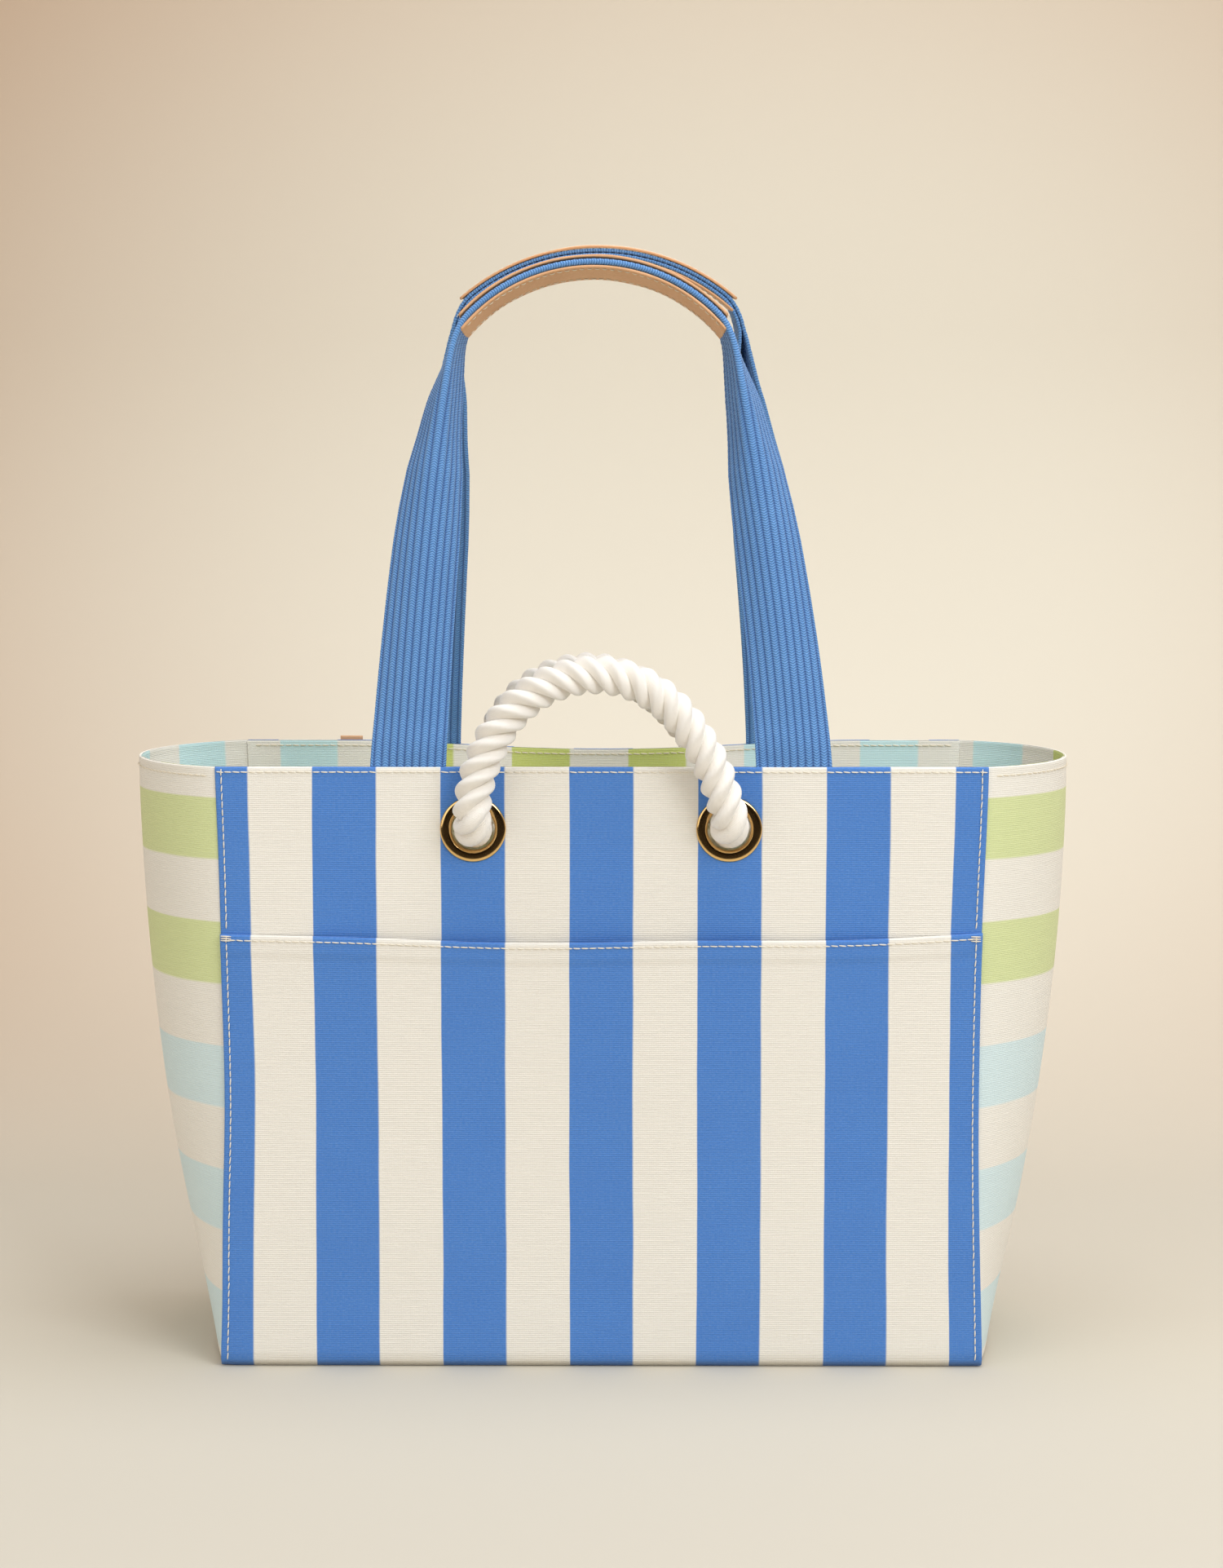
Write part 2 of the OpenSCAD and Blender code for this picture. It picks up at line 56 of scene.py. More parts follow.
# Sizes in metres, as in the CAD model of the same bag.
HALF_W, HALF_D, RIM_Z = 0.193, 0.076, 0.306
RIM_BULGE, FLOOR_BULGE, FOLD_R = 0.048, 0.008, 0.006
CANVAS, CORE, LINING, GAP = 0.0012, 0.0026, 0.0008, 0.0001
LINING_IN = CANVAS + CORE + 2 * GAP
WALL = LINING_IN + LINING
POCKET_TOP, POCKET_EASE = 0.218, 0.0045
BOARD_X, BOARD_Y, BOARD_R = 0.181, 0.069, 0.012
HOLE_X, HOLE_Z = 0.064, 0.275
ROPE_D, ROPE_OUT = 0.019, 0.013
ROPE_RISE, BACK_ROPE_RISE, BACK_ROPE_LEAN = 0.078, 0.069, 0.0055
WEB_W, WEB_T = 0.038, 0.0024
ARC_HALF = 0.09
LEG_X, STRAP_Y, TAB_X = 0.0965, 0.0734, -0.137
# Each handle's rise, grip distance from the mouth's middle, grip roll in degrees, half
# length and rise of the grip arc, and how far the grip sits to the left.
HANDLES = {
    "front": (0.256, 0.025, 6.0, 0.0675, 0.0315, -0.0042),
    "back": (0.264, 0.018, -9.0, 0.0675, 0.0255, -0.0020),
}


# ---------------------------------------------------------------- numbers


def ease(t):
    """Smooth step from 0 to 1, flat at both ends."""
    t = np.clip(t, 0.0, 1.0)
    return t * t * (3 - 2 * t)


def ripple(a, b, seed):
    """Gentle irregular waves between about -1 and 1: five sine waves of the two
    lengths a and b in metres, whose directions, pitches and phases follow the seed."""
    rng = np.random.default_rng(seed)
    total = 0.0
    for _ in range(5):
        turn, pitch, phase = rng.uniform(0, math.pi), rng.uniform(9, 34), rng.uniform(0, 6.28)
        total = total + np.sin((a * math.cos(turn) + b * math.sin(turn)) * pitch * 2 + phase) / 5
    return total * 1.6


def settle(points):
    """Lets the bag's cloth settle. Sideways, the front and back edges draw in by up to
    3 mm half way up. Outward, the front swells 1.5 mm low down with a slow ripple, and
    the back rim bows 7 mm inward and sinks 4 mm between its handle legs. It fades out
    above the rim, and every piece sewn to the bag goes through it."""
    p = np.array(points, float)
    x, y, z = p[..., 0].copy(), p[..., 1].copy(), p[..., 2].copy()
    h = np.clip(z / RIM_Z, 0, 1)
    fade = 1 - ease((z - RIM_Z - 0.004) / 0.05)
    side = np.clip(np.abs(x) / HALF_W, 0, 1)
    edge = np.clip(np.abs(y) / HALF_D, 0, 1) ** 2
    lift = ease(z / 0.05)
    draw = 0.0032 * np.sin(math.pi * h) ** 1.2 + 0.0009 * ripple(z, 0.3 * np.sign(x) + y, 5) * lift
    p[..., 0] = x - np.sign(x) * draw * side**6 * edge * fade
    front = ease((-y / HALF_D - 0.5) / 0.4)
    back = ease((y / HALF_D - 0.5) / 0.4)
    swell = (0.0012 * np.sin(math.pi * h) + 0.0006 * ripple(x, z, 11) * lift) * (1 - side**4)
    calm = 1 - 0.7 * ease((h - 0.8) / 0.1)
    p[..., 1] -= front * swell * calm * fade
    bow = np.clip(1 - (x / 0.12) ** 2, 0, 1) ** 2
    sink = np.clip(1 - (x / 0.14) ** 2, 0, 1) ** 2
    high = ease((h - 0.35) / 0.65)
    p[..., 1] += back * fade * (0.6 * swell - 0.007 * bow * high)
    p[..., 2] -= back * fade * 0.0042 * sink * ease((h - 0.6) / 0.4)
    return p


# ---------------------------------------------------------------- meshes


def new_object(name, verts, faces, uv=None):
    """A mesh object from vertex rows and quad rows, with an optional map of two numbers
    for each face corner."""
    verts = np.asarray(verts, np.float32).reshape(-1, 3)
    faces = np.asarray(faces, np.int32).reshape(-1, 4)
    mesh = bpy.data.meshes.new(name)
    mesh.vertices.add(len(verts))
    mesh.vertices.foreach_set("co", verts.ravel())
    mesh.loops.add(faces.size)
    mesh.loops.foreach_set("vertex_index", faces.ravel())
    mesh.polygons.add(len(faces))
    mesh.polygons.foreach_set("loop_start", np.arange(0, faces.size, 4, dtype=np.int32))
    mesh.polygons.foreach_set("loop_total", np.full(len(faces), 4, np.int32))
    mesh.polygons.foreach_set("use_smooth", np.ones(len(faces), bool))
    mesh.update(calc_edges=True)
    mesh.validate()
    if uv is not None and len(mesh.loops) == faces.size:
        layer = mesh.uv_layers.new(name="Cloth")
        layer.data.foreach_set("uv", np.asarray(uv, np.float32).ravel())
    obj = bpy.data.objects.new(name, mesh)
    bpy.context.collection.objects.link(obj)
    return obj


def quads(nu, nv, wrap=False):
    """Quads of a grid of nu by nv points, wrapping round in the second direction if asked."""
    i, j = np.meshgrid(np.arange(nu - 1), np.arange(nv if wrap else nv - 1), indexing="ij")
    k = (j + 1) % nv
    return np.stack([i * nv + j, i * nv + k, (i + 1) * nv + k, (i + 1) * nv + j], -1)


def cloth_piece(name, outer, inner, uv, keep=None, flip=False):
    """A sewn sheet as a closed shell: its outer grid, its inner grid turned over, and a
    narrow wall round every open edge, also round the holes that keep leaves out."""
    nu, nv = outer.shape[:2]
    q = quads(nu, nv)
    keep = np.ones(q.shape[:2], bool) if keep is None else keep
    n = nu * nv
    top, low = q[keep], q[keep][:, ::-1] + n
    walls = []
    pad = np.zeros((keep.shape[0] + 2, keep.shape[1] + 2), bool)
    pad[1:-1, 1:-1] = keep
    for di, dj, a, b in ((0, -1, 3, 0), (0, 1, 1, 2), (-1, 0, 0, 1), (1, 0, 2, 3)):
        near = pad[1 + di : pad.shape[0] - 1 + di, 1 + dj : pad.shape[1] - 1 + dj]
        e = q[keep & ~near]
        walls.append(np.stack([e[:, b], e[:, a], e[:, a] + n, e[:, b] + n], -1))
    faces = np.concatenate([top, low] + walls)
    if flip:
        faces = faces[:, ::-1]
    verts = np.concatenate([outer.reshape(-1, 3), inner.reshape(-1, 3)])
    flat = np.concatenate([uv.reshape(-1, 2), uv.reshape(-1, 2)])
    return new_object(name, verts, faces, flat[faces])


def tube_piece(name, rings, uv):
    """A closed tube through rings of points (rows, points round, 3), ends drawn to a point."""
    m, n = rings.shape[:2]
    i, j = np.divmod(np.arange((m - 1) * n), n)
    loops = np.stack([uv[i, j], uv[i, j + 1], uv[i + 1, j + 1], uv[i + 1, j]], 1)
    verts = np.concatenate([rings.reshape(-1, 3), rings[:1].mean(1), rings[-1:].mean(1)])
    j = np.arange(0, n, 2)
    last = (m - 1) * n
    first_cap = np.stack([0 * j + m * n, (j + 2) % n, (j + 1) % n, j], -1)
    last_cap = np.stack([0 * j + m * n + 1, last + j, last + (j + 1) % n, last + (j + 2) % n], -1)
    faces = np.concatenate([quads(m, n, wrap=True).reshape(-1, 4), first_cap, last_cap])
    cap_maps = [np.tile(uv[row, 0], (len(j), 4, 1)) for row in (0, -1)]
    loops = np.concatenate([loops] + cap_maps)
    return new_object(name, verts, faces[:, ::-1], loops[:, ::-1])


def unit(v):
    """Directions scaled to length 1."""
    return v / np.maximum(np.linalg.norm(v, axis=-1, keepdims=True), 1e-12)


def travelled(line):
    """Distance along a line at each of its points."""
    return np.concatenate([[0], np.cumsum(np.linalg.norm(np.diff(line, axis=0), axis=1))])


def resampled(line, at, where):
    """Points of a line at distances where, its own points being at distances at."""
    return np.stack([np.interp(where, at, line[:, k]) for k in range(line.shape[1])], -1)


def rounded_line(points, step):
    """A smooth line through chosen points, cut into even steps: a centripetal cubic
    between each pair whose slopes at the points follow the neighbours."""
    p = np.asarray(points, float)
    ext = np.concatenate([[2 * p[0] - p[1]], p, [2 * p[-1] - p[-2]]])
    t = np.concatenate([[0], np.cumsum(np.linalg.norm(np.diff(ext, axis=0), axis=1) ** 0.5)])

    def between(u, i, j, a, b):
        """Straight mix of a and b as u goes from knot i to knot j."""
        return ((t[j] - u) * a + (u - t[i]) * b) / (t[j] - t[i])

    out = []
    for k in range(1, len(ext) - 2):
        u = np.linspace(t[k], t[k + 1], 24, endpoint=False)[:, None]
        a = [between(u, k + m, k + m + 1, ext[k + m], ext[k + m + 1]) for m in (-1, 0, 1)]
        b = [between(u, k + m, k + m + 2, a[m + 1], a[m + 2]) for m in (-1, 0)]
        out.append(between(u, k, k + 1, *b))
    out = np.concatenate(out + [p[-1:]])
    along = travelled(out)
    n = max(8, int(round(along[-1] / step)) + 1)
    return resampled(out, along, np.linspace(0, along[-1], n)), along[-1]


def steady_frames(line, up):
    """Side and up directions along a line, carried so that they never twist."""
    t = unit(np.gradient(line, axis=0))
    ups = np.empty_like(line)
    u = np.asarray(up, float)
    for i, d in enumerate(t):
        u = u - d * (u @ d)
        u /= np.linalg.norm(u)
        ups[i] = u
    return np.cross(t, ups), ups


# ---------------------------------------------------------------- body strip

STRAIGHT = RIM_Z - FOLD_R
CORNER = math.pi * FOLD_R / 2
BASE = 2 * (HALF_D - FOLD_R)
STRIP_L = 2 * STRAIGHT + 2 * CORNER + BASE
BASE_START = STRAIGHT + CORNER
BASE_END = BASE_START + BASE
BACK_START = BASE_END + CORNER
RIM_STEPS = np.array([0, 0.0004, 0.001, 0.0018, 0.003, 0.0045, 0.006])
HOLE_CUT, CORE_CUT = 0.013, 0.0145
SEAM_IN, GATHER = 0.0032, 0.0078


def strip_point(x, s, off):
    """A point of the body strip: x across, s down the front, under the base and up the
    back, and off outward. Straight walls and base joined by two quarter turns."""
    x, s, off = np.broadcast_arrays(np.asarray(x, float), s, off)
    r = np.maximum(FOLD_R + off, 0.0004)
    front = np.clip((s - STRAIGHT) / FOLD_R, 0, math.pi / 2)
    back = np.clip((s - BASE_END) / FOLD_R, 0, math.pi / 2)
    c = HALF_D - FOLD_R
    y = np.select(
        [s < BASE_START, s < BASE_END],
        [-c - r * np.cos(front), -c + (s - BASE_START)],
        c + r * np.sin(back),
    )
    z = np.select(
        [s < STRAIGHT, s < BASE_START, s < BASE_END, s < BACK_START],
        [RIM_Z - s, FOLD_R - r * np.sin(front), -off, FOLD_R - r * np.cos(back)],
        FOLD_R + s - BACK_START,
    )
    return np.stack([x, y, z], -1)


def strip_steps(step):
    """Places along the strip: close together in the folds and at the rims."""
    wall = np.linspace(0.008, STRAIGHT, int(0.29 / step))
    front_fold = np.linspace(STRAIGHT, BASE_START, 9)[1:]
    base = np.linspace(BASE_START, BASE_END, int(BASE / step))[1:]
    back_fold = np.linspace(BASE_END, BACK_START, 9)[1:]
    down = [RIM_STEPS, wall, front_fold, base, back_fold]
    return np.concatenate(down + [STRIP_L - wall[::-1][1:], STRIP_L - RIM_STEPS[::-1]])


def panel_grid(half, step):
    """Grid of places across and along the strip, with the distance from the nearer rim."""
    X, S = np.meshgrid(across(half, step), strip_steps(step), indexing="ij")
    return X, S, np.minimum(S, STRIP_L - S)


def across(half, step):
    """Places across a panel, close together at its two edges."""
    e = np.array([0.0, 0.0003, 0.0008, 0.0015, 0.0025, 0.004])
    middle = np.linspace(-half + 0.006, half - 0.006, int(2 * half / step))
    return np.concatenate([-half + e, middle, half - e[::-1]])


def near_legs(x):
    """1 where a webbing leg is sewn into the rim, else 0, with soft ends."""
    return 1 - ease((np.abs(np.abs(x) - LEG_X) - WEB_W / 2 - 0.0005) / 0.003)


def rounding(d, reach, depth):
    """How far a cut edge rolls back: depth at the edge, 0 beyond reach, a quarter round."""
    t = np.clip(1 - d / reach, 0, 1)
    return -depth * (1 - np.sqrt(np.clip(1 - t * t, 0, 1)))


def pucker(x, s, row, depth):
    """Small gathers along a stitch row at distance row: shallow dimples whose spacing
    wanders a little, fading out within 3 mm of the row."""
    wave = np.cos(2 * math.pi * s / GATHER + 1.7 * np.sin(s * 91 + x * 60))
    return -depth * np.exp(-((row / 0.0028) ** 2)) * (0.55 + 0.45 * wave)


def clear_of_holes(points, radius):
    """Which quads of a grid of points lie further than radius from the rope holes."""
    mid = points.reshape(-1, 3)[quads(*points.shape[:2])].mean(2)
    return np.hypot(np.abs(mid[..., 0]) - HOLE_X, mid[..., 2] - HOLE_Z) > radius


def body_panel_piece():
    """Striped canvas strip. Width and length run straight; the outside rolls back at the
    side edges and at the rims, dimples along the stitch rows, and the inside stands a
    canvas thickness behind it, coming in to the lining along the rim to close the seam."""
    X, S, rim = panel_grid(HALF_W, 0.0034)
    side = HALF_W - np.abs(X)
    off = rounding(side, 0.0012, 0.0009) + rounding(rim, 0.0014, 0.0011)
    off = off + pucker(X, S, side - SEAM_IN, 0.00035) + pucker(S, X, rim - 0.0034, 0.0003)
    outer = strip_point(X, S, off)
    hem = ease((0.0075 - rim) / 0.004) * (1 - near_legs(X))
    tuck = 0.0008 * ease((0.0012 - rim) / 0.001) * hem
    thick = np.maximum(CANVAS + (LINING_IN - CANVAS - 0.0001) * hem - tuck, CANVAS)
    inner = strip_point(X, S, -thick - 0.3 * np.abs(off))
    keep = clear_of_holes(outer, HOLE_CUT)
    uv = np.stack([X, S], -1)
    return cloth_piece("body_panel_canvas", settle(outer), settle(inner), uv, keep, flip=True)


def pocket_gap(x, z):
    """Room inside the pocket: widest at the middle of its hem, closed at its sides."""
    return GAP + POCKET_EASE * (1 - (x / HALF_W) ** 2) * np.clip(z / POCKET_TOP, 0, 1) ** 3


def pocket_top(x):
    """Height of the pocket hem, which hangs 3 mm lower at the middle than at the sides."""
    return 0.2188 + 0.0036 * (x / HALF_W) ** 2 + 0.0006 * np.sin(x * 37)


def pocket_off(x, z, rise=0.0):
    """Outward distance of the pocket's outer face from the panel's."""
    hem = ease((z - pocket_top(x) + 0.0105) / 0.0012)
    return CANVAS + pocket_gap(x, z) + 0.0006 * hem + rise


def pocket_piece():
    """Slip pocket on the front: the panel's own surface moved out by the pocket's room,
    from the base fold up to a hem that is folded double and rolls over at its top."""
    half, low = HALF_W + 0.0003, 0.0005
    hem_steps = [0.948, 0.956, 0.964, 0.972, 0.98, 0.988, 0.992, 0.996, 1.0]
    t = np.concatenate([np.linspace(0, 0.94, 56), hem_steps])
    X, T = np.meshgrid(across(half, 0.0034), t, indexing="ij")
    Z = low + (pocket_top(X) - low) * T
    S = RIM_Z - Z
    side, down = half - np.abs(X), pocket_top(X) - Z
    out = pocket_off(X, Z) + rounding(side, 0.0012, 0.0008) + rounding(down, 0.0012, 0.0009)
    out = out + pucker(X, S, side - SEAM_IN, 0.0003) + pucker(S, X, down - 0.0028, 0.00028)
    out = np.where(Z < 0.012, np.maximum(out, 0.0008), out)
    thin = CANVAS + 0.0005 * ease((0.0105 - down) / 0.0012)
    outer, inner = strip_point(X, S, out), strip_point(X, S, np.maximum(out - thin, 0.00005))
    return cloth_piece("front_pocket_canvas", settle(outer), settle(inner), np.stack([X, S], -1))


def lining_piece():
    """Lining of front, base and back: the strip's form 4 mm further in, with rolled edges."""
    X, S, rim = panel_grid(HALF_W + 0.0002, 0.0042)
    low = ease((rim - 0.02) / 0.05)
    base = ease((rim - STRAIGHT + 0.02) / 0.02)
    loose = 0.0006 * (1 + ripple(X, S, 23)) * low * (1 - base)
    top = rounding(rim, 0.0009, 0.0004)
    outer = strip_point(X, S, -LINING_IN - loose + top)
    inner = strip_point(X, S, -WALL - loose - top + pucker(S, X, rim - 0.0034, -0.00025))
    keep = clear_of_holes(outer, HOLE_CUT)
    uv = np.stack([X, S], -1)
    return cloth_piece("lining_cloth", settle(outer), settle(inner), uv, keep, flip=True)


def core_piece(name, side):
    """Stiff sheet inside one wall, the strip's form cut to stop short of rim and seams."""
    x, s = np.linspace(-BOARD_X, BOARD_X, 90), np.linspace(0.0085, RIM_Z - 0.0075, 80)
    X, S = np.meshgrid(x, s, indexing="ij")
    if side > 0:
        S = STRIP_L - S
    outer = strip_point(X, S, -CANVAS - GAP)
    inner = strip_point(X, S, -CANVAS - GAP - CORE)
    mid = outer.reshape(-1, 3)[quads(*outer.shape[:2])].mean(2)
    at_leg = np.abs(np.abs(mid[..., 0]) - LEG_X) < WEB_W / 2 + 0.002
    keep = clear_of_holes(outer, CORE_CUT) & ~(at_leg & (mid[..., 2] > RIM_Z - 0.044))
    return cloth_piece(name, settle(outer), settle(inner), np.stack([X, S], -1), keep, flip=side < 0)


def base_board_piece():
    """Stiff board under the lining: a flat sheet with rounded corners."""
    x, y = np.linspace(-BOARD_X, BOARD_X, 60), np.linspace(-BOARD_Y, BOARD_Y, 24)
    X, Y = np.meshgrid(x, y, indexing="ij")
    ex = np.maximum(np.abs(X) - BOARD_X + BOARD_R, 0)
    ey = np.maximum(np.abs(Y) - BOARD_Y + BOARD_R, 0)
    far = np.hypot(ex, ey)
    pull = np.where(far > BOARD_R, BOARD_R / np.maximum(far, 1e-9), 1.0)
    X = np.sign(X) * (np.minimum(np.abs(X), BOARD_X - BOARD_R) + ex * pull)
    Y = np.sign(Y) * (np.minimum(np.abs(Y), BOARD_Y - BOARD_R) + ey * pull)
    top = np.stack([X, Y, np.full_like(X, CANVAS + GAP + CORE)], -1)
    low = np.stack([X, Y, np.full_like(X, CANVAS + GAP)], -1)
    return cloth_piece("base_board_sheet", top, low, np.stack([X, Y], -1))


# ---------------------------------------------------------------- gussets


def bulge(z):
    """How far a gusset swells past the panel edge at height z."""
    return FLOOR_BULGE + (RIM_BULGE - FLOOR_BULGE) * (1 - (1 - np.clip(z / RIM_Z, 0, 1)) ** 2)


def fold_half(z, inset):
    """Inside half depth of the strip at height z, following its rounded fold."""
    r = FOLD_R - inset
    t = np.clip(r - (z - inset), 0, r)
    return HALF_D - inset - (r - np.sqrt(np.maximum(r * r - t * t, 0)))


def gusset_point(side, t, z, depth):
    """A point of a gusset. t from -1 to 1 runs from the front seam to the back seam on a
    circular arc through both seams whose height is the swell; past them the cloth lies
    flat behind the panel. depth goes inward across the cloth."""
    d = fold_half(z, CANVAS) - GAP
    b = bulge(z)
    c = (d * d - b * b) / (2 * b)
    r = b + c
    a = np.arcsin(np.clip(d / r, -1, 1))
    arc = np.clip(t, -1, 1) * a
    lap = np.maximum(np.abs(t) - 1, 0)
    turn = ease(lap / 0.06)
    x = HALF_W + (r * np.cos(arc) - c) - lap * 0.1
    y = r * np.sin(arc)
    nx = np.cos(arc) * (1 - turn)
    ny = np.sin(arc) * (1 - turn) + np.sign(t) * turn
    n = np.hypot(nx, ny)
    calm = (1 - np.clip(np.abs(t), 0, 1) ** 4) * ease(z / 0.06)
    soft = 0.0011 * ripple(z * 1.3, 1.2 * t * 0.08 + side, 31) * calm
    x = x + (soft - depth) * nx / n
    y = y + (soft - depth) * ny / n
    return np.stack(np.broadcast_arrays(side * x, y, z), -1)


def gusset_piece(name, side, near, far, lining=False):
    """One gusset layer between two depths: a grid over the arc parameter and the height,
    its top edge rolled over and its shown face dimpled by the rim stitching. The map runs
    round the arc, at the lining from the front panel's edge on, and down from the rim."""
    lap = np.array([1.01, 1.03, 1.06, 1.09])
    t = np.concatenate([-lap[::-1], np.linspace(-1, 1, 61), lap])
    low = CANVAS + near + 0.0002
    rise = [np.linspace(low, 0.012, 8), np.linspace(0.015, RIM_Z - 0.008, 84)]
    T, Z = np.meshgrid(t, np.concatenate(rise + [RIM_Z - RIM_STEPS[::-1]]), indexing="ij")
    down = RIM_Z - Z
    roll = rounding(down, 0.001, 0.0004)
    arc = T * ARC_HALF
    gather = pucker(Z, arc, down - 0.0045, 0.0003)
    seam = pucker(arc, Z, (1 - np.abs(T)) * ARC_HALF, 0.0004)
    outside, inside = (0, gather) if lining else (gather + seam, 0)
    outer = gusset_point(side, T, Z, near - roll - outside)
    inner = gusset_point(side, T, Z, far + roll + inside)
    uv = np.stack([side * (HALF_W + ARC_HALF - arc) if lining else arc, down], -1)
    return cloth_piece(name, settle(outer), settle(inner), uv, flip=side < 0)


# ---------------------------------------------------------------- stitching


def stitch_row(name, line, out, length=0.0037, width=0.00068, lift=0.00022, pitch=0.0040):
    """Sewn stitches along a line: each is a low lens of six sides whose ends dip into the
    cloth, laid every pitch along the line, on the side that out points to."""
    t = travelled(line)
    n = max(1, int(t[-1] / pitch))
    at = (np.arange(n) + 0.5) * t[-1] / n
    mid, o = resampled(line, t, at), unit(resampled(out, t, at))
    tan = resampled(np.stack([np.gradient(c, t) for c in line.T], -1), t, at)
    tan = unit(tan - o * np.sum(tan * o, -1, keepdims=True))
    side = np.cross(tan, o)
    place = np.array([-0.5, -0.44, -0.25, 0.0, 0.25, 0.44, 0.5])
    size = np.array([0.15, 0.62, 0.95, 1.0, 0.95, 0.62, 0.15]) * width / 2
    high = np.array([-0.75, -0.2, 0.75, 1.0, 0.75, -0.2, -0.75]) * lift
    ang = np.arange(6) * math.pi / 3
    jig = np.random.default_rng(len(name) + n).uniform(-1, 1, (n, 2))
    skew = tan + side * (0.06 + jig[:, :1] * 0.07)
    # Rows of the arrays below: stitches, cross-sections, points round, coordinates.
    along = (length * (1 + 0.06 * jig[:, 1:]) * place)[:, :, None, None]
    up = (high[:, None] + np.sin(ang) * size[:, None])[None, :, :, None]
    over = (np.cos(ang) * size[:, None])[None, :, :, None]
    rings = mid[:, None, None] + skew[:, None, None] * along
    rings = rings + o[:, None, None] * up + side[:, None, None] * over
    caps = np.array([[0, 3, 2, 1], [0, 5, 4, 3], [36, 37, 38, 39], [36, 39, 40, 41]])
    q = np.concatenate([quads(7, 6, wrap=True).reshape(-1, 4), caps])[:, ::-1]
    faces = (q[None] + (np.arange(n) * 42)[:, None, None]).reshape(-1, 4)
    return new_object(name, rings.reshape(-1, 3), faces)


def joined(name, parts):
    """Several mesh objects as one."""
    verts, faces, n = [], [], 0
    for o in parts:
        v = np.empty(len(o.data.vertices) * 3, np.float32)
        o.data.vertices.foreach_get("co", v)
        f = np.empty(len(o.data.loops), np.int32)
        o.data.loops.foreach_get("vertex_index", f)
        verts.append(v.reshape(-1, 3))
        faces.append(f.reshape(-1, 4) + n)
        n += len(o.data.vertices)
        bpy.data.meshes.remove(o.data)
    return new_object(name, np.concatenate(verts), np.concatenate(faces))


def seam(low, high):
    """A settled line and its outward directions, toward a second line further out."""
    a, b = settle(low), settle(high)
    return a, unit(b - a)


def on_strip(x, s, off):
    """A line on the settled strip and its outward directions."""
    return seam(strip_point(x, s, off), strip_point(x, s, np.asarray(off) + 0.001))


def rim_row(name, s, parted=()):
    """White row along one rim at a place s of the strip, left out where the tab covers it."""
    x = np.linspace(-HALF_W + 0.0006, HALF_W - 0.0006, 300)
    ends = [-1, *parted, 1]
    parts = []
    for low, high in zip(ends[::2], ends[1::2]):
        k = (x > low) & (x < high)
        parts.append(stitch_row(name, *on_strip(x[k], np.full_like(x[k], s), 0.0001)))
    return joined(name, parts)


def lining_rows(name):
    """The same rim seam seen from inside: stitches on the lining along both rims."""
    x = np.linspace(-HALF_W + 0.004, HALF_W - 0.004, 300)
    parts = []
    for s in (0.0028, STRIP_L - 0.0028):
        low, high = strip_point(x, s, -WALL - 0.0001), strip_point(x, s, -WALL - 0.001)
        parts.append(stitch_row(name, *seam(low, high)))
    return joined(name, parts)


def side_rows(name, side):
    """White stitches down both panel edges, over the pocket at the front, with three
    tight rows across the pocket's corner."""
    x0 = side * (HALF_W - SEAM_IN)

    def down(s, off):
        """A row down the panel's edge at places s, off its outer face."""
        return stitch_row(name, *on_strip(np.full_like(s, x0), s, off))

    z = np.linspace(0.2215, 0.004, 140)
    parts = [
        down(RIM_Z - np.linspace(RIM_Z - 0.0006, 0.2245, 60), 0.0001),
        down(RIM_Z - z, pocket_off(x0, z, 0.0001)),
    ]
    x = np.linspace(x0 - 0.0032, x0 + 0.0028, 6)
    for k in range(3):
        z = 0.2211 - 0.0011 * k
        line = on_strip(x, np.full_like(x, RIM_Z - z), pocket_off(x0, z, 0.0003))
        parts.append(stitch_row(name, *line, length=0.0052, pitch=0.0055))
    parts.append(down(np.linspace(STRIP_L - RIM_Z + 0.006, STRIP_L - 0.005, 150), 0.0001))
    return joined(name, parts)


def pocket_row(name):
    """White row along the pocket hem."""
    x = np.linspace(-HALF_W + 0.004, HALF_W - 0.004, 300)
    z = pocket_top(x) - 0.0027
    return stitch_row(name, *on_strip(x, RIM_Z - z, pocket_off(x, z, 0.0001)))


def gusset_rim_row(name, side):
    """Undyed row round the top of one gusset."""
    t = np.linspace(-0.95, 0.95, 120)
    z = np.full_like(t, RIM_Z - 0.0045)
    low, high = gusset_point(side, t, z, -0.0001), gusset_point(side, t, z, -0.0011)
    return stitch_row(name, *seam(low, high), width=0.0006)


# ---------------------------------------------------------------- metal


def turned(name, profile, x, front, sides=96):
    """A ring turned about a rope hole's line: a closed outline of (radius, outward
    distance from the wall) carried round in even steps."""
    a = (np.arange(sides) * 2 * math.pi / sides)[:, None]
    r, out = profile.T
    p = np.broadcast_arrays(x + r * np.cos(a), front * (HALF_D + out), HOLE_Z + r * np.sin(a))
    points = np.stack(p, -1).reshape(-1, 3)
    faces = quads(sides + 1, len(r), wrap=True).reshape(-1, 4) % len(points)
    centre = np.array([[x, front * HALF_D, HOLE_Z]])
    return new_object(name, points + (settle(centre) - centre), faces[:, ::-front])


def smooth_outline(points):
    """A closed outline rounded off by cutting its corners three times."""
    p = np.asarray(points, float)
    for _ in range(3):
        q = np.roll(p, -1, 0)
        p = np.stack([0.78 * p + 0.22 * q, 0.22 * p + 0.78 * q], 1).reshape(-1, 2)
    return p


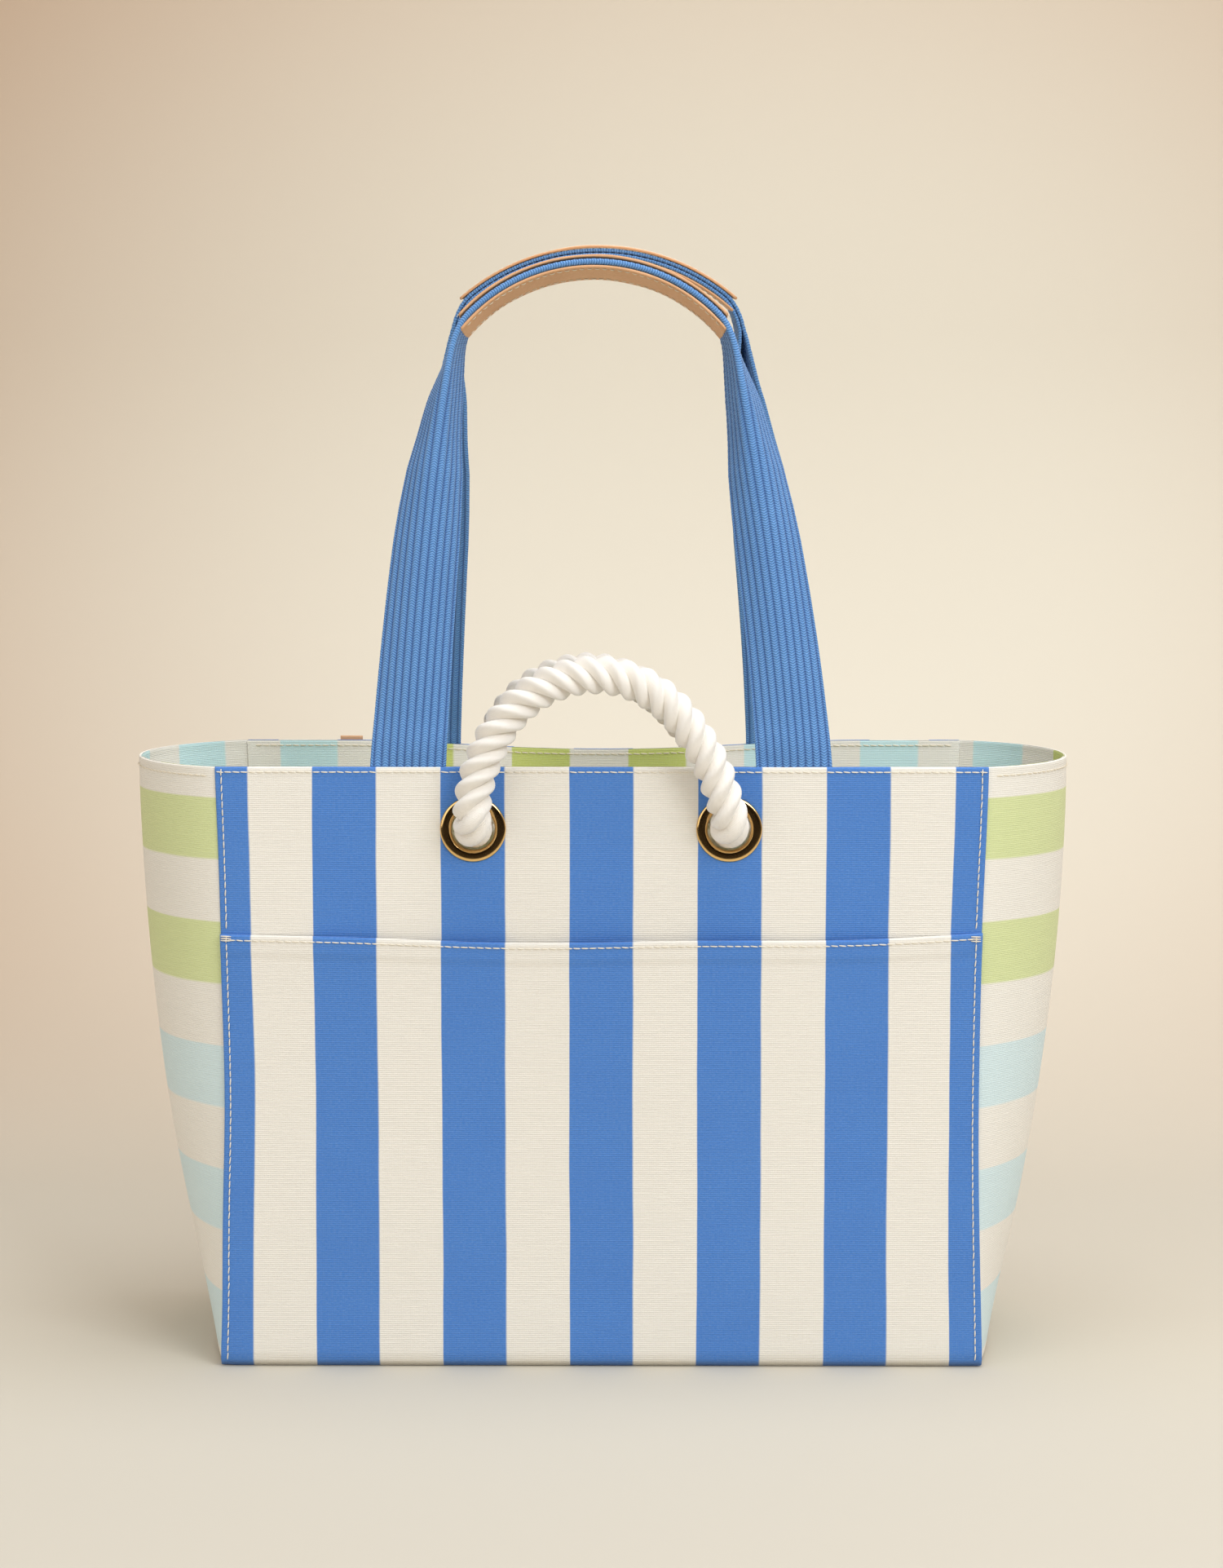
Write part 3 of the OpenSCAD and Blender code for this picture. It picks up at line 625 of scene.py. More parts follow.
# Outlines as (radius, outward distance from the wall).
GROMMET_OUTLINE = [
    (0.01075, -0.0040),
    (0.01078, -0.0012),
    (0.0110, 0.0003),
    (0.0115, 0.0012),
    (0.0121, 0.0015),
    (0.0135, 0.00155),
    (0.0150, 0.0015),
    (0.0160, 0.00125),
    (0.0164, 0.0008),
    (0.0165, 0.0002),
    (0.0163, 0.00005),
    (0.0140, 0.0001),
    (0.0118, 0.00005),
    (0.01165, -0.0040),
    (0.01165, -WALL - 0.0008),
    (0.0138, -WALL - 0.0009),
    (0.0141, -WALL - 0.0013),
    (0.0136, -WALL - 0.0018),
    (0.0115, -WALL - 0.0018),
    (0.01075, -WALL - 0.0010),
]
WASHER_OUTLINE = [
    (0.0120, -WALL - 0.0001),
    (0.0163, -WALL - 0.0001),
    (0.0165, -WALL - 0.0004),
    (0.0162, -WALL - 0.0008),
    (0.0145, -WALL - 0.0009),
    (0.0120, -WALL - 0.0008),
]


# ---------------------------------------------------------------- ropes


def strand_rings(line, up, radius, lay, around=66, turn=0.0, taper=1.0):
    """Three-strand rope round a line. The outline at each place is the outer edge of
    three equal circles set at 120 degrees, and it turns once in each lay."""
    side, ups = steady_frames(line, up)
    along = travelled(line)
    a = np.arange(around) * 2 * math.pi / around
    centre, small = 0.49 * radius, 0.53 * radius
    b = (a + math.pi / 3) % (2 * math.pi / 3) - math.pi / 3
    r = centre * np.cos(b) + np.sqrt(np.maximum(small**2 - (centre * np.sin(b)) ** 2, 0))
    phase = a[None] + turn - (2 * math.pi * along / lay)[:, None]
    spoke = np.cos(phase)[..., None] * side[:, None] + np.sin(phase)[..., None] * ups[:, None]
    rings = line[:, None] + (r * np.reshape(taper, (-1, 1)))[..., None] * spoke
    uv = np.stack(np.broadcast_arrays(along[:, None], np.arange(around + 1)[None] / around), -1)
    return rings, uv


# The loop as shares of the hole's distance from the middle and of the loop's rise.
ROPE_LOOP = [
    (-1, 0.12), (-0.97, 0.3), (-0.9, 0.48), (-0.78, 0.67), (-0.62, 0.82), (-0.42, 0.93), (-0.2, 0.99),
    (0.02, 1), (0.24, 0.96), (0.44, 0.87), (0.61, 0.74), (0.76, 0.57), (0.87, 0.4), (0.95, 0.22),
]
# The way through the wall, as distance from the bag's middle and height over the hole.
ROPE_WAY = [
    (HALF_D - WALL - 0.006, 0), (HALF_D - 0.002, 0), (HALF_D + 0.0055, 0.0015), (HALF_D + 0.0105, 0.0055),
]


def rope_line(front):
    """Line of one rope handle, from the wall's inner side out through one hole, up over
    the loop and back in through the other hole."""
    rise, lean = (ROPE_RISE, 0) if front else (BACK_ROPE_RISE, BACK_ROPE_LEAN)
    points = [(-HOLE_X, -out, HOLE_Z + up) for out, up in ROPE_WAY]
    for across_, share in ROPE_LOOP:
        points.append((across_ * HOLE_X - share * lean, -HALF_D - ROPE_OUT, HOLE_Z + share * rise))
    points += [(HOLE_X, -out, HOLE_Z + up) for out, up in ROPE_WAY[::-1]]
    return settle(np.array(points) * (1, 1 if front else -1, 1))


def knot_line(x, front):
    """Line of a stopper knot: a trefoil loop close against the wall with a short tail."""
    s = -1.0 if front else 1.0
    wall = HALF_D - WALL
    t = np.linspace(-0.35, 2 * math.pi - 1.15, 26)
    a, b, c = np.sin(t) + 2 * np.sin(2 * t), np.cos(t) - 2 * np.cos(2 * t), -np.sin(3 * t)
    loop = [x + 0.0042 * a, s * (wall - 0.0225) - s * 0.0062 * c, HOLE_Z - 0.001 + 0.0044 * b]
    loop = np.stack(loop, -1)
    tail = loop[-1] + np.array([[0.002, -s * 0.004, -0.012], [0.003, -s * 0.006, -0.026]])
    lead = [(x, s * (wall + 0.002), HOLE_Z), (x, s * (wall - 0.006), HOLE_Z)]
    return np.concatenate([lead, loop[2:], tail])


def rope_piece(name, front, lay):
    """One rope handle, with its line and length."""
    line, length = rounded_line(rope_line(front), 0.0011)
    rings, uv = strand_rings(line, (1, 0, 0), ROPE_D / 2, lay, turn=0.4 if front else 1.3)
    return tube_piece(name, rings, uv), line, length


def knot_piece(name, x, front, lay):
    """One stopper knot, its rope drawn a little thinner and its tail tapered."""
    line, _ = rounded_line(knot_line(x, front), 0.0014)
    taper = 1 - 0.5 * ease((np.arange(len(line)) - len(line) + 5) / 5)
    thin = ROPE_D / 2 * 0.97
    rings, uv = strand_rings(line, (0.2, 0.1, 1), thin, lay, around=48, taper=taper)
    centre = np.array([[x, (-1 if front else 1) * HALF_D, HOLE_Z]])
    return tube_piece(name, rings + (settle(centre) - centre), uv)


# ---------------------------------------------------------------- webbing


# Visible width of a folded leg at heights above the rim, both in metres.
LEG_AT = [0, 0.02, 0.055, 0.087, 0.113, 0.130, 0.150, 0.167, 0.188, 0.205, 0.216, 0.226]
LEG_SEEN = [0.038, 0.0374, 0.036, 0.0345, 0.033, 0.031, 0.0275, 0.022, 0.0165, 0.0100, 0.0055, 0.0022]
RIB = 0.0038
PAD_OFF, LEATHER = 0.0022, 0.0014
# Where a grip's two stitch rows run, and how many degrees each pad reaches past the arc.
GRIP_ROWS = (0.0018, WEB_W / 2 - 0.0025)
PAD_REACH = {("front", 1): -1.6, ("front", -1): 1.8, ("back", 1): 0.2, ("back", -1): 1.8}


class Handle:
    """One webbing handle: its rise, how far its grip stands from the mouth's middle, the
    grip's roll, half length, arc rise and sideways shift."""

    def __init__(self, word):
        self.word, self.front = word, word == "front"
        self.rise, self.set, roll, self.half, self.arc, self.shift = HANDLES[word]
        self.roll = math.radians(roll)
        self.radius = (self.half**2 + self.arc**2) / (2 * self.arc)
        self.angle = math.asin(self.half / self.radius)
        self.top = self.rise - self.arc - 0.007
        self.slope = math.asin((STRAP_Y - self.set) / self.rise)

    def line(self):
        """Line of the handle in its own plane: tail, left leg, grip arc, right leg, tail.
        Legs close in as they rise and run into a circular arc."""
        t = np.linspace(0, 1, 40)
        legx = -LEG_X + (LEG_X - self.half - 0.0035) * (0.55 * t + 0.45 * t * t)
        leg = np.stack([legx, self.top * t], -1)
        grip = self.round_grip(np.linspace(-self.angle, self.angle, 60))[:, ::2]
        tail = np.stack([np.full(8, -LEG_X), np.linspace(-0.042, -0.004, 8)], -1)
        pts = np.concatenate([tail, leg, grip, leg[::-1] * [-1, 1], tail[::-1] * [-1, 1]])
        for _ in range(3):
            pts[1:-1] = 0.25 * pts[:-2] + 0.5 * pts[1:-1] + 0.25 * pts[2:]
        d = travelled(pts)
        at = np.linspace(0, d[-1], int(d[-1] / 0.0016))
        return resampled(pts, d, at), at

    def round_grip(self, arc):
        """Points on the circle that the grip follows, in the handle's plane."""
        up = self.rise - self.radius * (1 - np.cos(arc))
        return np.stack([self.radius * np.sin(arc), 0 * arc, up], -1)

    def stand(self, points):
        """Leans points of the handle's plane over the mouth, the tails staying upright in
        the wall, shifts them sideways with height and turns the back handle round."""
        x, y, h = points[..., 0], points[..., 1], points[..., 2]
        lean = self.slope * ease((h + 0.006) / 0.03)
        over = np.maximum(h, 0)
        Y = -STRAP_Y + y * np.cos(lean) + over * np.sin(lean)
        Z = RIM_Z + 0.0009 + np.minimum(h, 0) + over * np.cos(lean) - y * np.sin(lean)
        turn = 1 if self.front else -1
        return settle(np.stack([turn * x + self.shift * ease(h / self.top), turn * Y, Z], -1))

    def fold(self, height, w):
        """How far the cloth has turned at each place across it, for a smooth crease whose
        breadth shrinks as the fold closes, so that a leg shows the width listed above."""
        half = WEB_W / 2
        seen = np.interp(height, LEG_AT, LEG_SEEN)
        shut = ease((half * 2 - seen) / (half * 1.5))
        crease = 0.0018 + 0.0155 * (1 - shut)

        def share(u):
            """How much of its full turn the cloth has made at a share of the crease."""
            return np.sin(np.clip(u, -1, 1) * math.pi / 2)

        tries = np.linspace(0, math.pi / 2 * 0.998, 80)
        u = (np.arange(40) + 0.5) / 40 * half
        wide = 2 * half * np.cos(tries[None, :, None] * share(u / crease[:, None, None])).mean(-1)
        turn = np.array([np.interp(-s, -row, tries) for s, row in zip(seen, wide)])
        return turn[:, None] * share(w[None] / crease[:, None])

    def webbing(self, name):
        """Folded webbing strap: the cloth's middle runs along the turned direction, and
        both faces stand half a thickness off it with ten ribs."""
        line, at = self.line()
        t2 = unit(np.gradient(line, axis=0))
        out = np.stack([-t2[:, 1], 0 * at, t2[:, 0]], -1)
        r = (self.roll * ease((line[:, 1] - self.top * 0.82) / (self.top * 0.18)))[:, None]
        back = np.array([[0.0, 1.0, 0.0]])
        a, b = np.cos(r) * out + np.sin(r) * back, np.cos(r) * back - np.sin(r) * out
        half = WEB_W / 2
        w = np.linspace(-half, half, 153)
        tau = self.fold(line[:, 1], w)

        def summed(f):
            """Running total across the webbing, zero at its middle."""
            steps = (f[:, 1:] + f[:, :-1]) / 2 * (w[1] - w[0])
            total = np.cumsum(np.concatenate([np.zeros((len(at), 1)), steps], 1), 1)
            middle = len(w) // 2
            return total - total[:, middle : middle + 1]

        pa, pb = summed(np.cos(tau)), summed(np.sin(tau))
        rib = 0.0006 * (np.abs(np.cos(math.pi * w / RIB)) ** 0.7 - 0.78)
        edge = rounding(half - np.abs(w), 0.0011, 0.0011)
        cell = math.pi * np.round(w / RIB)[None]
        knit = 0.00011 * np.cos(2 * math.pi * at[:, None] / 0.0032 + cell)
        closed = ease((line[:, 1] - self.top * 0.9) / (self.top * 0.1))[:, None]
        thick = (WEB_T / 2 - 0.00012) * (1 - 0.16 * closed) + (rib + edge) * (1 - 0.3 * closed) + knit
        shift = 0.0002 * ripple(at * 0.6, 0 * at, 41 if self.front else 43)
        c = np.stack([line[:, 0] + shift, 0 * at, line[:, 1]], -1)

        def face(sign):
            """One face of the strap, half a thickness off the cloth's middle."""
            A, B = pa + sign * thick * np.sin(tau), pb - sign * thick * np.cos(tau)
            return c[:, None] + A[..., None] * a[:, None] + B[..., None] * b[:, None]

        outer, inner = self.stand(face(1)), self.stand(face(-1))
        uv = np.stack(np.broadcast_arrays(w[None], at[:, None]), -1)
        return cloth_piece(name, outer, inner, uv, flip=not self.front), at[-1]

    def grip(self, arc, across_, off):
        """A point of a grip pad: round the grip arc, across from the fold to the open
        edges, and off from the fold's middle."""
        up = np.stack([np.sin(arc), 0 * arc, np.cos(arc)], -1)
        back = np.array([0, 1.0, 0])
        b = math.cos(self.roll) * back - math.sin(self.roll) * up
        o = math.cos(self.roll) * up + math.sin(self.roll) * back
        return self.stand(self.round_grip(arc) + across_[..., None] * b + off[..., None] * o)

    def pad(self, name, side):
        """Leather pad of the grip: a strip bent round the grip arc, with rounded corners
        and burnished edges, dented along its two stitch rows."""
        span = self.angle + math.radians(PAD_REACH[self.word, side])
        e = np.array([0, 0.01, 0.025, 0.05, 0.08])
        u = np.concatenate([e / 4, np.linspace(0.03, 0.97, 110), 1 - e[::-1] / 4]) * 2 - 1
        v = np.concatenate([e, np.linspace(0.12, 0.88, 26), 1 - e[::-1]])
        U, V = np.meshgrid(u, v, indexing="ij")
        length = span * self.radius
        w0, w1 = -0.0007, WEB_W / 2 - 0.0003
        d_end, d_side = (1 - np.abs(U)) * length, np.minimum(V, 1 - V) * (w1 - w0)
        r = 0.002
        cx, cy = np.clip(1 - d_end / r, 0, 1), np.clip(1 - d_side / r, 0, 1)
        trim = np.maximum(np.hypot(cx, cy) - 1, 0) * r
        arc = U * span - np.sign(U) * trim * 0.7 * cx / self.radius
        acr = w0 + V * (w1 - w0) + np.sign(0.5 - V) * trim * 0.7 * cy
        edge = rounding(np.minimum(d_end, d_side), 0.0008, 0.0005)
        row = np.minimum(np.abs(acr - GRIP_ROWS[0]), np.abs(acr - GRIP_ROWS[1]))
        dent = -0.00025 * np.exp(-((row / 0.001) ** 2))
        lumps = 0.00014 * ripple(arc * 0.4, acr * 4, 51 + side)
        top = PAD_OFF + LEATHER + edge + dent + lumps
        low = PAD_OFF - 0.3 * edge + 0 * top
        outer, inner = self.grip(arc, acr, side * top), self.grip(arc, acr, side * low)
        return cloth_piece(name, outer, inner, np.stack([arc * self.radius, acr], -1), flip=side < 0)

    def grip_rows(self, name):
        """Stitch rows on the outer faces of both pads."""
        arc = np.linspace(-self.angle + 0.01, self.angle - 0.01, 90)
        parts = []
        for side in (-1, 1):
            for row in GRIP_ROWS:
                acr, face = np.full_like(arc, row), np.full_like(arc, PAD_OFF + LEATHER)
                a = self.grip(arc, acr, side * (face - 0.00015))
                b = self.grip(arc, acr, side * (face + 0.001))
                parts.append(stitch_row(name, a, unit(b - a), length=0.003, width=0.0006, pitch=0.0038))
        return joined(name, parts)


def tab_piece():
    """Small blank leather tab on the back: a strip doubled over the rim's outside, with
    rounded lower corners and a slight outward curl at the top."""
    half, height, wall = 0.006, 0.036, HALF_D + 0.0001
    U, V = np.meshgrid(np.linspace(-1, 1, 21), np.linspace(0, 1, 41), indexing="ij")
    z = RIM_Z + 0.002 - V * height
    corner = np.clip((V - 0.9) / 0.1, 0, 1) ** 2
    x = TAB_X + half * U * np.sqrt(1 - 0.6 * corner)
    d = np.minimum((1 - np.abs(U)) * half, np.minimum(V, 1 - V) * height)
    out = 0.0012 + rounding(d, 0.0006, 0.0004) + 0.0003 * ease(1 - V * 6)
    outer, inner = np.stack([x, wall + out, z], -1), np.stack([x, np.full_like(x, wall), z], -1)
    return cloth_piece("back_tab_leather", settle(outer), settle(inner), np.stack([x, z], -1))


# ---------------------------------------------------------------- materials


def srgb(r, g, b):
    """Linear colour from 0-255 display values."""
    shares = [c / 255 for c in (r, g, b)]
    return tuple(c / 12.92 if c <= 0.04045 else ((c + 0.055) / 1.055) ** 2.4 for c in shares) + (1.0,)


def plug(tree, socket, value):
    """Sets a socket to a number or colour, or links it to another field or socket."""
    if isinstance(value, (int, float, tuple)):
        socket.default_value = value
    else:
        tree.links.new(getattr(value, "socket", value), socket)


class Field:
    """A value that a shader works out, so that formulas of sockets read like sums."""

    def __init__(self, tree, socket):
        self.tree, self.socket = tree, socket

    def math(self, op, other=None, clamp=False):
        """The value after one Math node, with another value or number where it takes one."""
        n = self.tree.nodes.new("ShaderNodeMath")
        n.operation, n.use_clamp = op, clamp
        plug(self.tree, n.inputs[0], self)
        if other is not None:
            plug(self.tree, n.inputs[1], other)
        return Field(self.tree, n.outputs[0])

    def __add__(self, other):
        return self.math("ADD", other)

    def __sub__(self, other):
        return self.math("SUBTRACT", other)

    def __mul__(self, other):
        return self.math("MULTIPLY", other)

    def __truediv__(self, other):
        return self.math("DIVIDE", other)

    def __pow__(self, other):
        return self.math("POWER", other)

    def __abs__(self):
        return self.math("ABSOLUTE")

    def rest(self):
        """What is left of 1."""
        return self * -1.0 + 1.0

    def clamped(self):
        """The value kept between 0 and 1."""
        return self.math("MULTIPLY", 1.0, clamp=True)

    def wave(self):
        """Height of a row of round threads, one for each whole number of the value."""
        return abs((self * math.pi).math("SINE"))

    def ramp(self, low, high, to_low=0.0, to_high=1.0, smooth=False):
        """The value's share of the way from low to high, as a number between the others."""
        n = self.tree.nodes.new("ShaderNodeMapRange")
        n.interpolation_type = "SMOOTHSTEP" if smooth else "LINEAR"
        for k, v in enumerate((self, low, high, to_low, to_high)):
            plug(self.tree, n.inputs[k], v)
        return Field(self.tree, n.outputs[0])


def group(name, inputs, outputs):
    """A new shader node group with inputs (name, kind, default) and number outputs."""
    g = bpy.data.node_groups.new(name, "ShaderNodeTree")
    for word, kind, default in inputs:
        s = g.interface.new_socket(word, in_out="INPUT", socket_type=kind)
        if default is not None:
            s.default_value = default
    for word in outputs:
        g.interface.new_socket(word, in_out="OUTPUT", socket_type="NodeSocketFloat")
    fields = {s.name: Field(g, s) for s in g.nodes.new("NodeGroupInput").outputs if s.name}
    return g, fields, g.nodes.new("NodeGroupOutput").inputs


def use(tree, g, **inputs):
    """A node group in a material, its outputs as fields by name."""
    n = tree.nodes.new("ShaderNodeGroup")
    n.node_tree = g
    for word, value in inputs.items():
        plug(tree, n.inputs[word.replace("_", " ")], value)
    return {s.name: Field(tree, s) for s in n.outputs}


def mix_colour(tree, factor, a, b):
    """The first colour turning into the second as the factor goes from 0 to 1."""
    n = tree.nodes.new("ShaderNodeMix")
    n.data_type = "RGBA"
    for k, v in ((0, factor), (6, a), (7, b)):
        plug(tree, n.inputs[k], v)
    return n.outputs[2]


def noise(tree, vector, scale, detail=2.0, rough=0.5):
    """Cloudy noise of a map."""
    n = tree.nodes.new("ShaderNodeTexNoise")
    for word, value in (("Vector", vector), ("Scale", scale), ("Detail", detail), ("Roughness", rough)):
        plug(tree, n.inputs[word], value)
    return Field(tree, n.outputs[0])


def stretched(tree, vector, scale, shift=(0, 0, 0)):
    """A map scaled by three numbers and then shifted."""
    n = tree.nodes.new("ShaderNodeMapping")
    n.inputs["Location"].default_value = shift
    n.inputs["Scale"].default_value = scale
    plug(tree, n.inputs["Vector"], vector)
    return n.outputs[0]


def split(tree, vector):
    """The three numbers of a map as fields."""
    n = tree.nodes.new("ShaderNodeSeparateXYZ")
    plug(tree, n.inputs[0], vector)
    return [Field(tree, s) for s in n.outputs]


def length_of(tree, vector):
    """Distance of a map's place from its zero."""
    n = tree.nodes.new("ShaderNodeVectorMath")
    n.operation = "LENGTH"
    plug(tree, n.inputs[0], vector)
    return Field(tree, n.outputs["Value"])


def bump(tree, shader, height, strength, distance):
    """Bumps the shader's surface by a height field."""
    n = tree.nodes.new("ShaderNodeBump")
    for word, value in (("Height", height), ("Strength", strength), ("Distance", distance)):
        plug(tree, n.inputs[word], value)
    plug(tree, shader.inputs["Normal"], n.outputs[0])


def fresh(name, rough, sheen=0.0, metallic=0.0, spec=0.5):
    """A new material with its Principled shader and constants on the shader's sockets."""
    m = bpy.data.materials.new(name)
    m.use_nodes = True
    b = m.node_tree.nodes["Principled BSDF"]
    b.inputs["Roughness"].default_value = rough
    b.inputs["Metallic"].default_value = metallic
    b.inputs["Specular IOR Level"].default_value = spec
    if sheen:
        b.inputs["Sheen Weight"].default_value = sheen
        b.inputs["Sheen Roughness"].default_value = 0.5
    return m, m.node_tree, b


def cloth_map(tree):
    """The cloth's own map, in metres along and across its flat form."""
    n = tree.nodes.new("ShaderNodeUVMap")
    n.uv_map = "Cloth"
    return n.outputs[0]


def object_map(tree):
    """Places in metres in the object's frame."""
    return tree.nodes.new("ShaderNodeTexCoord").outputs["Object"]


def weave_group():
    """Plain weave from the cloth's own map in metres: rounded threads both ways, with
    slubs. Gives the height of the cloth and a shade mask, low between threads, by which the cloths paint
    shade into the gaps."""
    inputs = [
        ("Map", "NodeSocketVector", None),
        ("Threads Across", "NodeSocketFloat", 1100.0),
        ("Threads Along", "NodeSocketFloat", 1000.0),
    ]
    g, given, out = group("Weave", inputs, ["Height", "Mask"])
    x, y, _ = split(g, given["Map"])
    slub = noise(g, stretched(g, given["Map"], (60, 500, 1)), 1.0)
    cross = (x * given["Threads Across"]).wave() ** 0.7 * 0.14
    rib = (y * given["Threads Along"] + slub * 0.8).wave() ** 0.6 * 0.8
    height = rib + cross + slub * 0.25
    plug(g, out["Height"], height)
    # Mask for painted shade: low in the gaps between the threads.
    plug(g, out["Mask"], height.clamped())
    return g


def bands_group():
    """Even two-colour bands along one value, with slightly woolly edges. Each pitch holds
    one band in its first half; the count numbers the pitches."""
    inputs = [("Place", 0.0), ("Pitch", 0.0642), ("Start", 0.0), ("Softness", 0.02)]
    floats = [(word, "NodeSocketFloat", default) for word, default in inputs]
    g, given, out = group("Bands", floats, ["Band", "Count"])
    pitches = (given["Place"] - given["Start"]) / given["Pitch"]
    edge = abs(pitches.math("FRACT") - 0.25) * -1.0 + 0.25
    plug(g, out["Band"], (edge / given["Softness"]).math("ADD", 0.5, clamp=True))
    plug(g, out["Count"], pitches.math("FLOOR"))
    return g


def wavering(tree, uv, axis, scale, reach):
    """One number of the cloth's map, wandering a little as woven stripes do."""
    wander = noise(tree, stretched(tree, uv, scale), 1.0) - 0.5
    return split(tree, uv)[axis] + wander * reach


def canvas_material(settings, weave, bands):
    """Blue and cream striped canvas: bands across, ribbed weave, mottled blue yarn, and painted shade
    between the threads.
    """
    m, t, b = fresh("striped_canvas", 0.88, sheen=0.12, spec=0.25)
    uv = cloth_map(t)
    width = settings.stripe_width
    place = wavering(t, uv, 0, (6, 9, 1), 0.0022)
    band = use(t, bands, Place=place, Pitch=2 * width, Start=-width / 2, Softness=0.014)["Band"]
    cloth = use(t, weave, Map=uv, Threads_Across=900.0, Threads_Along=980.0)
    fleck = noise(t, stretched(t, uv, (700, 1900, 1)), 1.0, 2.0, 0.6)
    cloud = noise(t, stretched(t, uv, (22, 30, 1)), 1.0, 3.0)
    blue = mix_colour(t, (fleck**2.0).clamped(), tuple(settings.blue_canvas), srgb(128, 165, 215))
    blue = mix_colour(t, cloud * 0.22, blue, srgb(58, 104, 186))
    cream = mix_colour(t, fleck * 0.5, tuple(settings.cream_canvas), srgb(226, 214, 192))
    colour = mix_colour(t, band, cream, blue)
    # Painted shade: the colour darkens toward blue-grey between the threads, where the weave's mask is
    # low.
    plug(t, b.inputs["Base Color"], mix_colour(t, cloth["Mask"].rest() * 0.16, colour, srgb(60, 70, 100)))
    bump(t, b, cloth["Height"], 0.55, 0.00035)
    return m


def pastel_material(name, settings, weave, bands, axis, start, green, aqua):
    """Pastel cloth: cream between coloured bands, three green then three aqua, with painted shade between
    the threads.
    """
    m, t, b = fresh(name, 0.9, sheen=0.1, spec=0.25)
    uv = cloth_map(t)
    place = wavering(t, uv, axis, (9, 7, 1), 0.002)
    band = use(t, bands, Place=place, Pitch=2 * settings.band_width, Start=start, Softness=0.02)
    cloth = use(t, weave, Map=uv, Threads_Across=980.0, Threads_Along=1050.0)
    fleck = noise(t, stretched(t, uv, (900, 1500, 1)), 1.0, 2.0, 0.6)
    is_aqua = band["Count"].math("FLOORED_MODULO", 6.0).math("GREATER_THAN", 2.5)
    paint = mix_colour(t, is_aqua, tuple(green), tuple(aqua))
    paint = mix_colour(t, fleck * 0.35, paint, srgb(244, 242, 226))
    cream = mix_colour(t, fleck * 0.5, tuple(settings.cream_canvas), srgb(230, 220, 200))
    colour = mix_colour(t, band["Band"], cream, paint)
    # Painted shade: the colour darkens toward olive grey between the threads, where the weave's mask is
    # low.
    plug(t, b.inputs["Base Color"], mix_colour(t, cloth["Mask"].rest() * 0.14, colour, srgb(120, 118, 90)))
    bump(t, b, cloth["Height"], 0.5, 0.0003)
    return m


def rope_material(settings):
    """Ecru cotton rope: fine yarns running round each strand, soft and fibrous, with painted shade in the
    grooves between the yarns.
    """
    m, t, b = fresh("cotton_rope", 0.9, sheen=0.35, spec=0.2)
    uv, obj = cloth_map(t), object_map(t)
    x, y, _ = split(t, uv)
    yarn = (x * 900.0 + y * 40.0 + noise(t, stretched(t, uv, (300, 9, 1)), 1.0) * 1.6).wave()
    fuzz, tone = noise(t, obj, 2600.0, 3.0, 0.7), noise(t, obj, 140.0)
    colour = mix_colour(t, tone * 0.4, tuple(settings.rope), srgb(244, 236, 222))
    # Painted shade: the colour darkens toward warm tan in the grooves between the yarns.
    plug(t, b.inputs["Base Color"], mix_colour(t, yarn.rest() * 0.14, colour, srgb(206, 186, 158)))
    bump(t, b, yarn + fuzz * 0.5, 0.4, 0.0003)
    return m


def webbing_material(settings):
    """Blue cotton webbing: lengthwise ribs with a fine slanted cross weave, mottled light flecks
    painted as highlights on the crests where the yarns cross, and painted shade in the rib grooves and the
    gaps between the yarns."""
    m, t, b = fresh("blue_webbing", 0.72, sheen=0.25, spec=0.35)
    uv = cloth_map(t)
    x, y, _ = split(t, uv)
    groove = abs((x * (math.pi / RIB)).math("COSINE")).rest()
    zig = (x * (2 / RIB)).math("PINGPONG", 1.0) * 0.9
    pick = (y * (1 / 0.0013) + zig).wave()
    fleck = noise(t, stretched(t, uv, (1500, 800, 1)), 1.0, 2.0, 0.7)
    cloud = noise(t, object_map(t), 40.0)
    # Painted highlight: mottled light flecks on the crests of the cross yarns.
    light = (pick * fleck).math("MULTIPLY", 0.9, clamp=True)
    colour = mix_colour(t, light, tuple(settings.webbing), srgb(150, 190, 232))
    colour = mix_colour(t, cloud * 0.25, colour, srgb(54, 108, 176))
    # Painted shade: dark blue in the grooves between the ribs, then in the gaps between the cross yarns.
    colour = mix_colour(t, groove**1.6 * 0.8, colour, srgb(30, 66, 130))
    colour = mix_colour(t, pick.rest() ** 1.5 * 0.5, colour, srgb(44, 88, 152))
    plug(t, b.inputs["Base Color"], colour)
    bump(t, b, pick * 0.7 + fleck * 0.4, 0.9, 0.0005)
    return m


def leather_material(settings):
    """Natural tan leather: fine pores, slow tone changes and an uneven polish."""
    m, t, b = fresh("tan_leather", 0.52, spec=0.45)
    obj = object_map(t)
    cell = t.nodes.new("ShaderNodeTexVoronoi")
    plug(t, cell.inputs["Scale"], 900.0)
    plug(t, cell.inputs["Vector"], obj)
    tone, fine = noise(t, obj, 55.0, 3.0), noise(t, obj, 600.0, 3.0, 0.6)
    colour = mix_colour(t, tone, tuple(settings.leather), srgb(214, 160, 112))
    plug(t, b.inputs["Base Color"], mix_colour(t, fine * 0.3, colour, srgb(176, 118, 74)))
    plug(t, b.inputs["Roughness"], fine.ramp(0.0, 1.0, 0.42, 0.62))
    bump(t, b, Field(t, cell.outputs["Distance"]) + fine * 0.6, 0.25, 0.0002)
    return m


